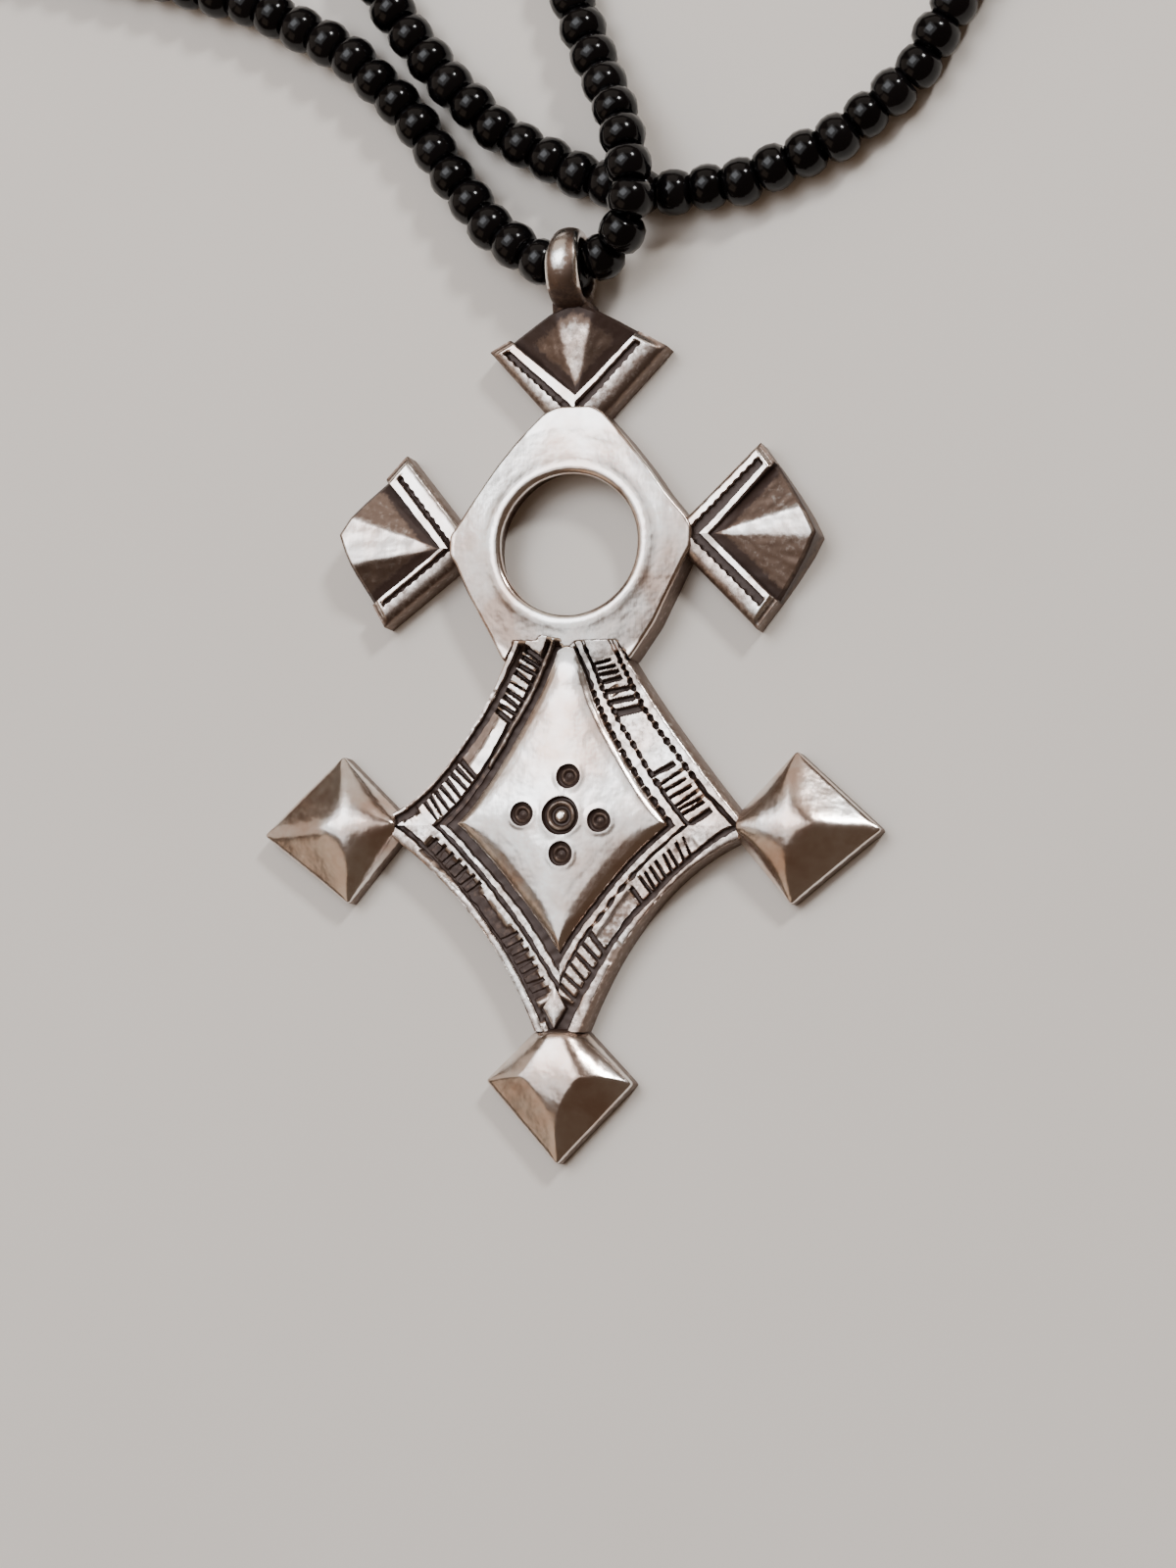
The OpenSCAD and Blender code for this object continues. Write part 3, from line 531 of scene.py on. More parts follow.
# The picture: its size in pixels, and the pixel at which the camera's aim shows
PICTURE_W, PICTURE_H = 1200, 1600
AIM_PIXEL = (575.4, 833.4)
# The camera, in metres: what it aims at, how far away it is, its focal length in pixels, and its
# sensor's width in millimetres
AIM = Vector((0.0, 0.0, 0.002))
CAMERA_DISTANCE = 0.230
FOCAL_PIXELS, SENSOR_W = 3519, 36.0
CLIP = (0.01, 10.0)
YAW, PITCH, ROLL = math.radians(17.1), math.radians(5.15), math.radians(1.608)


def linear(code, alpha=1.0):
    """An sRGB hex colour as linear RGBA."""
    parts = [int(code[i:i + 2], 16) / 255 for i in (1, 3, 5)]
    return tuple(c / 12.92 if c <= 0.04045 else ((c + 0.055) / 1.055) ** 2.4 for c in parts) + (alpha,)


def mix(a, b, t):
    """A value this share of the way from a to b."""
    return a + (b - a) * t


def share_of(low, high, value):
    """How far a value lies from low to high, kept between 0 and 1."""
    return min(max((value - low) / (high - low), 0.0), 1.0)


def ease(low, high, value):
    """0 below low, 1 above high, and a smooth rise between."""
    t = share_of(low, high, value)
    return t * t * (3 - 2 * t)


def inside(low, high, value, soft):
    """1 between low and high, 0 outside them, with soft ends."""
    return ease(low - soft, low + soft, value) * (1 - ease(high - soft, high + soft, value))


def table_at(table, t):
    """The row of numbers between two rows of a table, at t."""
    for (t0, a), (t1, b) in zip(table, table[1:]):
        if t <= t1:
            way = share_of(t0, t1, t)
            return [mix(p, q, way) for p, q in zip(a, b)]
    return list(table[-1][1])


def soft_low(values, soft):
    """The lowest of some heights, with a soft change from one to the next."""
    low = min(values)
    return low - soft * math.log(sum(math.exp((low - v) / soft) for v in values))


def uneven(kind, x, y, z):
    """The unevenness of a kind of surface or line at x and y, where z picks a pattern of its own."""
    amount, size = UNEVEN[kind]
    return amount * noise.noise(Vector((x, y, z)) / size)


def turned(point, degrees, origin):
    """A point of an arm's own frame, its neck at the origin and its tip along X, on the plate."""
    angle = math.radians(degrees)
    c, s = math.cos(angle), math.sin(angle)
    return Vector((origin.x + point[0] * c - point[1] * s, origin.y + point[0] * s + point[1] * c))


def new_bmesh(layer="patina"):
    """An empty bmesh whose corners each hold one more number, such as their patina."""
    bm = bmesh.new()
    bm.verts.layers.float.new(layer)
    return bm


def sheet(bm, columns, rows, place):
    """A grid whose point in each column and row goes where place says: x, y, z and patina."""
    made = bmesh.ops.create_grid(bm, x_segments=columns, y_segments=rows, size=0.5)["verts"]
    patina = bm.verts.layers.float["patina"]
    for v in made:
        i, j = round((v.co.x + 0.5) * columns), round((v.co.y + 0.5) * rows)
        x, y, z, dark = place(i, j)
        v.co = (x, y, z)
        v[patina] = dark


def merge(bm, kind):
    """Merges the corners of a mesh that nearly meet."""
    bmesh.ops.remove_doubles(bm, verts=bm.verts, dist=MERGE[kind])


def stand(bm, ring=False):
    """Draws the rim of a sheet straight down to the floor and closes the base, or a ring's base."""
    patina = bm.verts.layers.float["patina"]
    rim = [e for e in bm.edges if e.is_boundary]
    for foot in (WALL_FOOT, 0.0):
        made = bmesh.ops.extrude_edge_only(bm, edges=rim)["geom"]
        for v in (g for g in made if isinstance(g, bmesh.types.BMVert)):
            v.co.z = foot
            v[patina] = WALL_PATINA
        rim = [g for g in made if isinstance(g, bmesh.types.BMEdge) and g.is_boundary]
    if ring:
        bmesh.ops.bridge_loops(bm, edges=rim)
    else:
        bmesh.ops.holes_fill(bm, edges=rim, sides=0)
    bmesh.ops.recalc_face_normals(bm, faces=bm.faces)


def cut(bm, point, normal):
    """Cuts off what lies in front of a plane."""
    geometry = bm.verts[:] + bm.edges[:] + bm.faces[:]
    bmesh.ops.bisect_plane(bm, geom=geometry, plane_co=point, plane_no=normal, clear_outer=True)


def closed_section(bm, corners, layer, values):
    """A closed line of corners, each with its value, ready to be spun."""
    line = [bm.verts.new(corner) for corner in corners]
    for v, value in zip(line, values):
        v[layer] = value
    for a, b in zip(line, line[1:] + line[:1]):
        bm.edges.new((a, b))


def spin_round(bm, axis, steps, kind):
    """Spins a section once round an axis through the origin, and merges its seam."""
    section = bm.verts[:] + bm.edges[:]
    bmesh.ops.spin(
        bm, geom=section, cent=(0, 0, 0), axis=axis, angle=math.tau, steps=steps, use_merge=True
    )
    merge(bm, kind)


def gather(whole, part):
    """Adds one closed solid to the whole."""
    mesh = bpy.data.meshes.new("part")
    part.to_mesh(mesh)
    part.free()
    whole.from_mesh(mesh)
    bpy.data.meshes.remove(mesh)


def linked(bm, name):
    """A mesh object in the scene, made from a bmesh, which is freed."""
    mesh = bpy.data.meshes.new(name)
    bm.to_mesh(mesh)
    bm.free()
    made = bpy.data.objects.new(name, mesh)
    bpy.context.scene.collection.objects.link(made)
    return made


def finished(bm, name, material, sharp=SHARP, unit=MM):
    """A mesh object in metres, smooth but for its sharp edges, riding on the pendant's one body."""
    bmesh.ops.scale(bm, vec=(unit, unit, unit), verts=bm.verts)
    bm.normal_update()
    for f in bm.faces:
        f.smooth = True
    limit = math.radians(sharp)
    for e in bm.edges:
        e.smooth = not (len(e.link_faces) == 2 and e.calc_face_angle(0.0) > limit)
    piece = linked(bm, name)
    piece.data.materials.append(material)
    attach(piece, "root")
    return piece


def line_points(corners, step):
    """Points at most a step apart along a closed line of corners."""
    corners = [Vector(c) for c in corners]
    points = []
    for a, b in zip(corners, corners[1:] + corners[:1]):
        count = max(1, math.ceil((b - a).length / step))
        points += [a.lerp(b, i / count) for i in range(count)]
    return points


def rounded_line(points, passes):
    """Softens the corners of a closed line of points."""
    for _ in range(passes):
        count = len(points)
        points = [(points[i - 1] + points[i] * 2 + points[(i + 1) % count]) / 4 for i in range(count)]
    return points


def body_top(x, y):
    """Height of the upper body beyond the lip of its eye."""
    (near, far), (high, low) = BODY_FALL
    return mix(high, low, share_of(near, far, math.hypot(x - EYE.x, y - EYE.y)))


def past_merge(x, y):
    """How far a place lies on the border's side of the line along which the body meets it."""
    return min(table_at(MERGE_LINE, x)[0] - y, math.hypot(x - EYE.x, y - EYE.y) - MERGE_R)


def dive(distance):
    """How far a surface dives under another this far past the line where they meet."""
    return min(DIVE * max(0.0, distance) ** 2, DIVE_DEPTH)


def upper_body():
    """The domed plate round the eye, from the wall of the eye over its lip to the outline."""
    outline = rounded_line(line_points(BODY_OUTLINE, OUTLINE_STEP), 3)
    count = len(outline)
    lip_rows, face_rows = len(EYE_LIP), len(EYE_LIP) + BODY_RINGS
    lip_end = EYE_R + EYE_LIP[-1][0]

    def place(i, j):
        out = outline[i % count] - EYE
        reach, away = out.length, out.normalized()
        if j < lip_rows:
            d, z, dark = EYE_LIP[j]
            r = EYE_R + d + uneven("lip", away.x, away.y, j * 0.1)
            x, y = EYE + away * (r + EYE_FLARE * max(0.0, 1 - z / FACE_Z))
        else:
            if j < face_rows:
                r = mix(lip_end, reach - EDGE_ROLL[0][0], (j - lip_rows + 1) / (BODY_RINGS + 1))
                drop = dark = 0.0
            else:
                d, drop, dark = EDGE_ROLL[j - face_rows]
                r = reach - d
            x, y = EYE + away * r
            border = WAIST_R.x - WAIST_LEAN[x > 0] * (y - WAIST_L.y)
            sunk = dive(past_merge(x, y)) * (1 - ease(border - SINK_SOFT[0], border - SINK_SOFT[1], abs(x)))
            z = body_top(x, y) - drop - sunk
            dark = max(dark, min(sunk * SINK_PATINA, 1.0))
        if z > FACE_Z:
            z += uneven("body", x, y, 0.0)
        return x, y, z, dark

    bm = new_bmesh()
    sheet(bm, count, face_rows + len(EDGE_ROLL) - 1, place)
    merge(bm, "plate")
    stand(bm, ring=True)
    return bm


def side_point(side, t, d):
    """A point of one side of the lozenge, moved in from its edge."""
    a, b = side["ends"]
    along, inset = side["pull"]
    chord = b - a
    c = a + chord * along + Vector((-chord.y, chord.x)) * inset
    tangent = ((c - a).lerp(b - c, t)).normalized()
    return a.lerp(c, t).lerp(c.lerp(b, t), t) + Vector((-tangent.y, tangent.x)) * d


def plate_top(x, y):
    """Height of the lozenge's rim, which climbs to the body's near the waist and dives under it."""
    z = RIM_Z - SAG * max(0.0, -y)
    return mix(z, body_top(x, y), ease(*CLIMB_Y, y)) - dive(-past_merge(x, y))


def side_border(side, seed):
    """One side of the lozenge: rim, grooves, the band with its ladders and panels, and the strip."""
    a, b = side["ends"]
    start, end = side["run"]
    chord = (b - a).length
    columns = math.ceil(chord * (end - start) / COLUMN_STEP)
    ladders = list(zip(side["cuts"], side["slant"], side["across"]))

    def cut_depth(t, d):
        """1 in the middle of a chisel cut, 0 on the band beside it."""
        deepest = 0.0
        for cuts, slant, (near, far) in ladders:
            if not cuts[0][0] - LADDER_MARGIN < t < cuts[-1][0] + LADDER_MARGIN:
                continue
            reach = inside(near, far, d, CUT_END_SOFT)
            for k, (at, outer, inner) in enumerate(cuts):
                lean = slant + LEAN_VARIES * math.sin(k * 2.3 + seed)
                away = abs((t - at) * chord - lean * (d - (near + far) / 2))
                half = mix(outer, inner, share_of(near, far, d)) + uneven("cut", d, k * 1.7, seed)
                deepest = max(deepest, reach * (1 - ease(half - CUT_SOFT, half + CUT_SOFT, away)))
        return deepest

    def dashes(groove, t):
        """The wave of a groove's dashes, from -1 to 1, and how far t lies within their stretch."""
        for number, t0, t1, pitch in side["dashed"]:
            if number == groove:
                return math.sin(math.tau * t / pitch), inside(t0, t1, t, DASH_SOFT)
        return 0.0, 0.0

    def place(i, j):
        t = mix(start, end, i / columns)
        lines = table_at(side["lines"], t)
        if j < len(BORDER_SIDE):
            share, z, dark = BORDER_SIDE[j]
            x, y = side_point(side, t, lines[0] * share)
            return x, y, z + uneven("border side", x, y, 2.0), dark
        kind, first, last, share, shift, level = BORDER_ROWS[j - len(BORDER_SIDE)]
        d = mix(lines[first], lines[last], share) + shift
        d += uneven("line", t * chord, first * 0.9, seed * 7.0)
        d += uneven("long line", t * chord, first * 2.1, seed * 3.0)
        if first == last:
            wave, here = dashes((first - 1) // 2, t)
            d += DASH_SWELL * wave * here * (1 if first % 2 else -1)
        # The side's film is a thin patina that also paints part of the warm reflection on its flats
        dark = side["film"]
        if kind == "band":
            cut_here = cut_depth(t, d)
            level, dark = level * (1 - cut_here), max(dark, cut_here)
        elif kind.startswith("groove"):
            number = int(kind[-1])
            wave, dashed = dashes(number, t)
            here = inside(*side["open"][number], t, OPEN_SOFT)
            here *= 1 - DASH_GAP * (0.5 + 0.5 * wave) ** DASH_POWER * dashed
            level, dark = mix(1.0, level, here), max(dark, here)
        for t0, t1, d0, d1, height, shade in side["low"]:
            here = inside(d0, d1, d, LOW_SOFT_ACROSS) * inside(t0, t1, t, LOW_SOFT_ALONG)
            level, dark = min(level, mix(1.0, height, here)), max(dark, shade * here)
        x, y = side_point(side, t, d)
        z = mix(FLOOR_Z + uneven("groove floor", x, y, 3.0), plate_top(x, y), level)
        z += uneven("border", x, y, 5.0) * (1 - ease(*CALM_Y, y))
        return x, y, z, min(dark, 1.0)

    bm = new_bmesh()
    sheet(bm, columns, len(BORDER_SIDE) + len(BORDER_ROWS) - 1, place)
    middle = Vector((0.0, CORNER_Y, 0.0))
    cut(bm, middle, Vector((-math.copysign(1.0, a.x + b.x), 0.0, 0.0)))
    cut(bm, middle, Vector((0.0, -math.copysign(1.0, a.y + b.y), 0.0)))
    for end_x, end_y in ((SLAB_END_X, 0.0), (-SLAB_END_X, 0.0), (0.0, SLAB_END_Y[0]), (0.0, SLAB_END_Y[1])):
        cut(bm, Vector((end_x, end_y, 0.0)), Vector((end_x, end_y, 0.0)))
    stand(bm)
    return bm


def neck_plate():
    """The small raised diamond at the foot of the lozenge."""
    def place(i, j):
        angle = math.tau * i / DIAMOND_STEPS
        share, z, dark = DIAMOND_ROWS[j]
        c, s = math.cos(angle), math.sin(angle)
        size = 1 / (abs(c) + abs(s)) * (1 - share)
        return DIAMOND.x + DIAMOND_HALF_W * c * size, DIAMOND.y + DIAMOND_HALF_H * s * size, z, dark

    bm = new_bmesh()
    sheet(bm, DIAMOND_STEPS, len(DIAMOND_ROWS) - 1, place)
    merge(bm, "arm")
    stand(bm)
    return bm


def inner_line(side, t):
    """A point of the innermost line of a side."""
    return side_point(side, t, table_at(side["lines"], t)[-1])


def inner_place(side, axis, value, low, high):
    """Where along a side its innermost line crosses x or y = value, between low and high."""
    def off(t):
        return inner_line(side, t)[axis] - value

    for _ in range(HALVINGS):
        t = (low + high) / 2
        low, high = (low, t) if off(low) * off(t) <= 0 else (t, high)
    return low


def pillow():
    """The smooth domed field inside the borders."""
    edges = []
    for side, ends in zip(SIDES, PILLOW_ENDS):
        first, last = (inner_place(side, *end) for end in ends)
        places = [mix(first, last, (i + 0.5) / PILLOW_STEPS) for i in range(PILLOW_STEPS)]
        edges.append([inner_line(side, t) for t in places])
    outline = rounded_line([p for edge in edges for p in edge], 2)
    count = len(outline)
    middle = Vector((PILLOW_MIDDLE_X, CORNER_Y))

    def rise_at(q):
        """Height above the rim: the lowest of what the four sides allow, with soft ridges."""
        heights = []
        for edge in edges:
            d = min((p - q).length_squared for p in edge) ** 0.5
            heights.append(table_at(PILLOW_RISE, d)[0])
        soft = max(PILLOW_SOFT * ease(*PILLOW_RIDGE_FROM, min(heights)), 0.001)
        return soft_low(heights, soft) * (1 - ease(*PILLOW_SINK_Y, q.y))

    def place(i, j):
        p = outline[i % count]
        ahead = (outline[(i + 1) % count] - outline[i % count - 1]).normalized()
        inward = (Vector((-ahead.y, ahead.x)) + (middle - p).normalized()).normalized()
        if j < len(PILLOW_EDGE):
            d, rise, dark = PILLOW_EDGE[j]
            q = p + inward * (d + (uneven("pillow edge", p.x, p.y, 8.0) if d > 0 else 0.0))
            dark *= 1 - ease(*PILLOW_BRIGHT_Y, p.y)
        else:
            share = ((j - len(PILLOW_EDGE) + 1) / PILLOW_RINGS) ** PILLOW_CROWD
            q = (p + inward * PILLOW_EDGE[-1][0]).lerp(middle, share)
            rise, dark = rise_at(q), 0.0
            rise += uneven("pillow", q.x, q.y, 1.0) * ease(*PILLOW_UNEVEN_FROM, rise)
        return q.x, q.y, plate_top(q.x, q.y) + rise, dark

    bm = new_bmesh()
    sheet(bm, count, len(PILLOW_EDGE) + PILLOW_RINGS - 1, place)
    merge(bm, "fine")
    for x, y, r, _ in (CENTRE_PUNCH, *SMALL_PUNCHES):
        for v in bm.verts:
            away = abs(math.hypot(v.co.x - x, v.co.y - y) - r)
            if away < BURR_W:
                v.co.z += BURR_H * (1 - ease(0.0, BURR_W, away))
    stand(bm)
    return bm


def punch(x, y, r, depth, section, top):
    """The shape that a punch drives into the silver: its section spun round."""
    bm = new_bmesh()
    patina = bm.verts.layers.float["patina"]
    previous = None
    for share, down, dark in [(1.0, -PUNCH_HEAD / depth, PUNCH_HEAD_PATINA)] + section:
        v = bm.verts.new((share * r, 0.0, top - down * depth))
        v[patina] = dark
        if previous:
            bm.edges.new((previous, v))
        previous = v
    spin_round(bm, (0, 0, 1), PUNCH_STEPS, "fine")
    bmesh.ops.holes_fill(bm, edges=[e for e in bm.edges if e.is_boundary], sides=0)
    for v in bm.verts:
        away = v.co.xy.normalized() * PUNCH_WAVES
        swell = 1 + uneven("punch", away.x, away.y, x * 3 + y)
        v.co.x, v.co.y = v.co.x * swell + x, v.co.y * swell + y
    bmesh.ops.recalc_face_normals(bm, faces=bm.faces)
    return bm


def punched_pillow():
    """The pillow with its five punch marks and small pits driven in."""
    tools = new_bmesh()
    for marks, section, rise in MARKS:
        for mark in marks:
            gather(tools, punch(*mark, section, RIM_Z + rise))
    field, driven = linked(pillow(), "pillow"), linked(tools, "punches")
    struck = field.modifiers.new("punches", "BOOLEAN")
    struck.operation, struck.object, struck.solver = "DIFFERENCE", driven, "MANIFOLD"
    bpy.context.view_layer.update()
    done = bpy.data.meshes.new_from_object(field.evaluated_get(bpy.context.evaluated_depsgraph_get()))
    bm = bmesh.new()
    bm.from_mesh(done)
    bmesh.ops.dissolve_degenerate(bm, edges=bm.edges[:], dist=MERGE["plate"])
    meshes = [done, field.data, driven.data]
    for o in (field, driven):
        bpy.data.objects.remove(o)
    for mesh in meshes:
        bpy.data.meshes.remove(mesh)
    return bm


def fan_arm(fan, upper):
    """An arm of a fan in the fan's own frame: its start, its direction, inwards, and its lines."""
    sign = 1 if upper else -1
    along = Vector((fan.corner, sign * (fan.half_w - fan.neck_w / 2))).normalized()
    inward = Vector((along.y, -along.x)) * sign
    return Vector((0.0, sign * fan.neck_w / 2)), along, inward, fan.upper if upper else fan.lower


def fan_apex(fan):
    """The inner corner of a fan's facets, where the inner lines of its two arms meet."""
    start, along, inward, lines = fan_arm(fan, True)
    other_start, _, other_inward, other_lines = fan_arm(fan, False)
    a = start + inward * lines[0][2]
    b = other_start + other_inward * other_lines[0][2]
    return a + along * ((b - a).dot(other_inward) / along.dot(other_inward))


def fan_rim(fan):
    """Outer edge of a fan from its upper corner to its lower one."""
    upper = [Vector((fan.corner, fan.half_w))]
    upper += [Vector((mix(fan.corner, fan.reach, a), fan.half_w * b)) for a, b in FAN_ARC]
    line = upper + [Vector((fan.reach, 0.0))] + [Vector((p.x, -p.y)) for p in reversed(upper)]
    fine = []
    for a, b in zip(line, line[1:]):
        fine += [a.lerp(b, i / FAN_ARC_STEPS) for i in range(FAN_ARC_STEPS)]
    return fine + [line[-1]]


def ray_hit(origin, away, line):
    """Distance from an origin to where a ray meets a line of points, or None."""
    best = None
    for a, b in zip(line, line[1:]):
        e = b - a
        det = away.x * -e.y + away.y * e.x
        if abs(det) < 1e-9:
            continue
        w = a - origin
        s = (w.x * -e.y + w.y * e.x) / det
        u = (away.x * w.y - away.y * w.x) / det
        if s > 0 and -1e-6 <= u <= 1 + 1e-6 and (best is None or s < best):
            best = s
    return best


def run_to_rim(start, along, rim):
    """How far a line along a fan's arm runs from its start to the fan's outer edge."""
    return ray_hit(start - along * RAY_BACK, along, rim) - RAY_BACK


def fan_strips(fan, upper, seed):
    """The two strips and the groove along one inner edge of a fan."""
    start, along, inward, lines = fan_arm(fan, upper)
    apex, rim = fan_apex(fan), fan_rim(fan)
    corner_s = (apex - start).dot(along)

    def place(i, j):
        first, last, share, shift, level, dark = FAN_ROWS[j]

        def distance_in(s, end):
            """How far in the row lies at s, on an arm that ends at end."""
            way = share_of(corner_s, end, s)
            row = [0.0] + [mix(a, b, way) for a, b in zip(*lines)]
            return mix(row[first], row[last], share) + shift

        end = run_to_rim(start + inward * lines[1][2], along, rim)
        end = run_to_rim(start + inward * distance_in(end, end), along, rim) - RIM_GAP
        s = mix(STRIP_START, end, i / STRIP_COLUMNS)
        d = distance_in(s, end)
        if WAVERING_ROWS[0] <= j <= WAVERING_ROWS[1]:
            d += uneven("strip line", s, first * 1.7, seed * 5.0)
        if first == last == 1:
            d += SCALLOP * math.sin(math.tau * s / SCALLOP_PITCH + seed)
        p = start + along * s + inward * d
        left = run_to_rim(start + inward * d, along, rim) - s
        finish = ease(*STRIP_FINISH, left)
        film = fan.films[0 if upper else 1][first > 1]
        if first == 0 and last == 1:
            level *= 1 - STRIP_FALL * film * (1 - share) ** 2
            film += STRIP_EDGE_FILM * (1 - share) ** 2
        if 0 < first < 3:
            closed = 1 - ease(*GROOVE_END, left)
            level, dark = mix(level, max(level, 1.0), closed), mix(dark, film, closed)
        top = RIM_Z + STRIP_NECK_RISE * (1 - ease(*STRIP_NECK, s))
        z = mix(FLOOR_Z, mix(FLOOR_Z + STRIP_END_Z, top, finish), level) + uneven("strip", p.x, p.y, seed)
        q = turned(p, fan.turn, fan.neck)
        return q.x, q.y, z, max(dark, film, STRIP_END_PATINA * (1 - finish))

    bm = new_bmesh()
    sheet(bm, STRIP_COLUMNS, len(FAN_ROWS) - 1, place)
    beyond = turned((0.0, -1.0 if upper else 1.0), fan.turn, Vector((0.0, 0.0)))
    cut(bm, turned(apex, fan.turn, fan.neck).to_3d(), beyond.to_3d())
    merge(bm, "arm")
    stand(bm)
    return bm


def direction(angle):
    """A step of length 1 at an angle from X."""
    return Vector((math.cos(angle), math.sin(angle)))


def slope_plane(a, rise_a, b, rise_b):
    """The slope that rises by these amounts for each millimetre along a and along b."""
    det = a.x * b.y - a.y * b.x
    return Vector(((rise_a * b.y - rise_b * a.y) / det, (rise_b * a.x - rise_a * b.x) / det))


def fan_facets(fan, seed):
    """The three facets of a fan, spreading from the inner corner of its strips."""
    apex, rim = fan_apex(fan), fan_rim(fan)
    ends = []
    for upper in (True, False):
        start, along, inward, lines = fan_arm(fan, upper)
        foot = start + inward * lines[1][2]
        foot += along * run_to_rim(foot, along, rim)
        ends.append(math.atan2(foot.y - apex.y, foot.x - apex.x))
    ridges = [math.radians(a) for a in reversed(fan.ridges)]
    rise = [(FAN_CREST_Z - FAN_APEX_Z) / ray_hit(apex, direction(a), rim) for a in ridges]
    slopes = [slope_plane(direction(ridges[0]), rise[0], direction(ridges[1]), rise[1])]
    for ridge, up, end in zip(ridges, rise, ends):
        slopes.append(slope_plane(direction(ridge), up, direction(end), -FAN_FOOT_FALL))

    def place(i, j):
        angle = mix(ends[1], ends[0], i / FACET_COLUMNS)
        r_max = ray_hit(apex, direction(angle), rim) or (rim[0 if i else -1] - apex).length
        r = r_max * j / FACET_RINGS
        p = direction(angle) * r
        edge = r_max - r
        z = FAN_APEX_Z + soft_low([p.dot(slope) for slope in slopes], FAN_SOFT)
        z -= FAN_EDGE_DROP * (1 - ease(*FAN_EDGE, edge))
        p += apex
        flank = 1 - inside(ridges[1], ridges[0], angle, FLANK_SOFT)
        z += uneven("facet", p.x, p.y, seed + 3.0) + flank * uneven("side facet", p.x, p.y, seed + 9.0)
        near_strip = min(angle - ends[1], ends[0] - angle) * r
        dark = mix(fan.patina, FLANK_PATINA, flank) + SHELF_PATINA * (1 - ease(0.0, fan.shelf, edge))
        dark += FOOT_PATINA * (1 - ease(*FAN_FOOT, near_strip))
        q = turned(p, fan.turn, fan.neck)
        return q.x, q.y, z, min(1.0, dark)

    bm = new_bmesh()
    sheet(bm, FACET_COLUMNS, FACET_RINGS, place)
    merge(bm, "facets")
    stand(bm)
    return bm


def point_height(point, x, y):
    """Height of a point: crowned about its ridge, with two flat far faces and perhaps a filed one."""
    half = point.neck_w / 2
    width = half + (point.half_w - half) * max(x, POINT_NECK_X) / point.corner
    full = mix(*POINT_FULLNESS, share_of(0.0, point.crest, x))
    crown = table_at(POINT_RIDGE, x)[0] - POINT_EDGE_Z
    heights = [POINT_EDGE_Z + crown * (1 - min(abs(y) / width, 1.0) ** full)]
    far = Vector((point.reach - point.corner, point.half_w)).normalized()
    slope = (POINT_CREST_Z - POINT_EDGE_Z) / (far.y * (point.reach - point.crest))
    for v in (y, -y):
        heights.append(POINT_EDGE_Z + slope * (far.y * (point.reach - x) - far.x * v))
    if point.filed:
        height, rise, bend, tilt = FILED_FACE
        heights.append(height + rise * x + bend * x * x + tilt * y)
    return soft_low(heights, FILED_SOFT if point.filed else POINT_SOFT)


def point_arm(point, seed):
    """A pyramid point: its neck, its softly crowned faces and the ridges between them."""
    half = point.neck_w / 2
    corners = [(POINT_START, -half), (point.corner, -point.half_w), (point.reach, 0.0),
               (point.corner, point.half_w), (POINT_START, half)]
    outline = rounded_line(line_points(corners, OUTLINE_STEP), 2)
    count = len(outline)
    last = POINT_EDGE[-1][0]
    rings = POINT_EDGE + [(last + (1 - last) * k / POINT_RINGS, 0.0, 0.0) for k in range(1, POINT_RINGS + 1)]

    def place(i, j):
        share, drop, dark = rings[j]
        q = outline[i % count].lerp(Vector((point.crest, 0.0)), share)
        z = max(point_height(point, q.x, q.y), POINT_EDGE_Z) - drop + uneven("point", q.x, q.y, seed)
        if point.filed:
            notch = 1 - ease(0.0, NOTCH_W, q.x)
            z, dark = z - NOTCH_DEPTH * notch, max(dark, notch)
        w = turned(q, point.turn, point.neck)
        return w.x, w.y, z, dark

    bm = new_bmesh()
    sheet(bm, count, len(rings) - 1, place)
    merge(bm, "arm")
    stand(bm)
    return bm


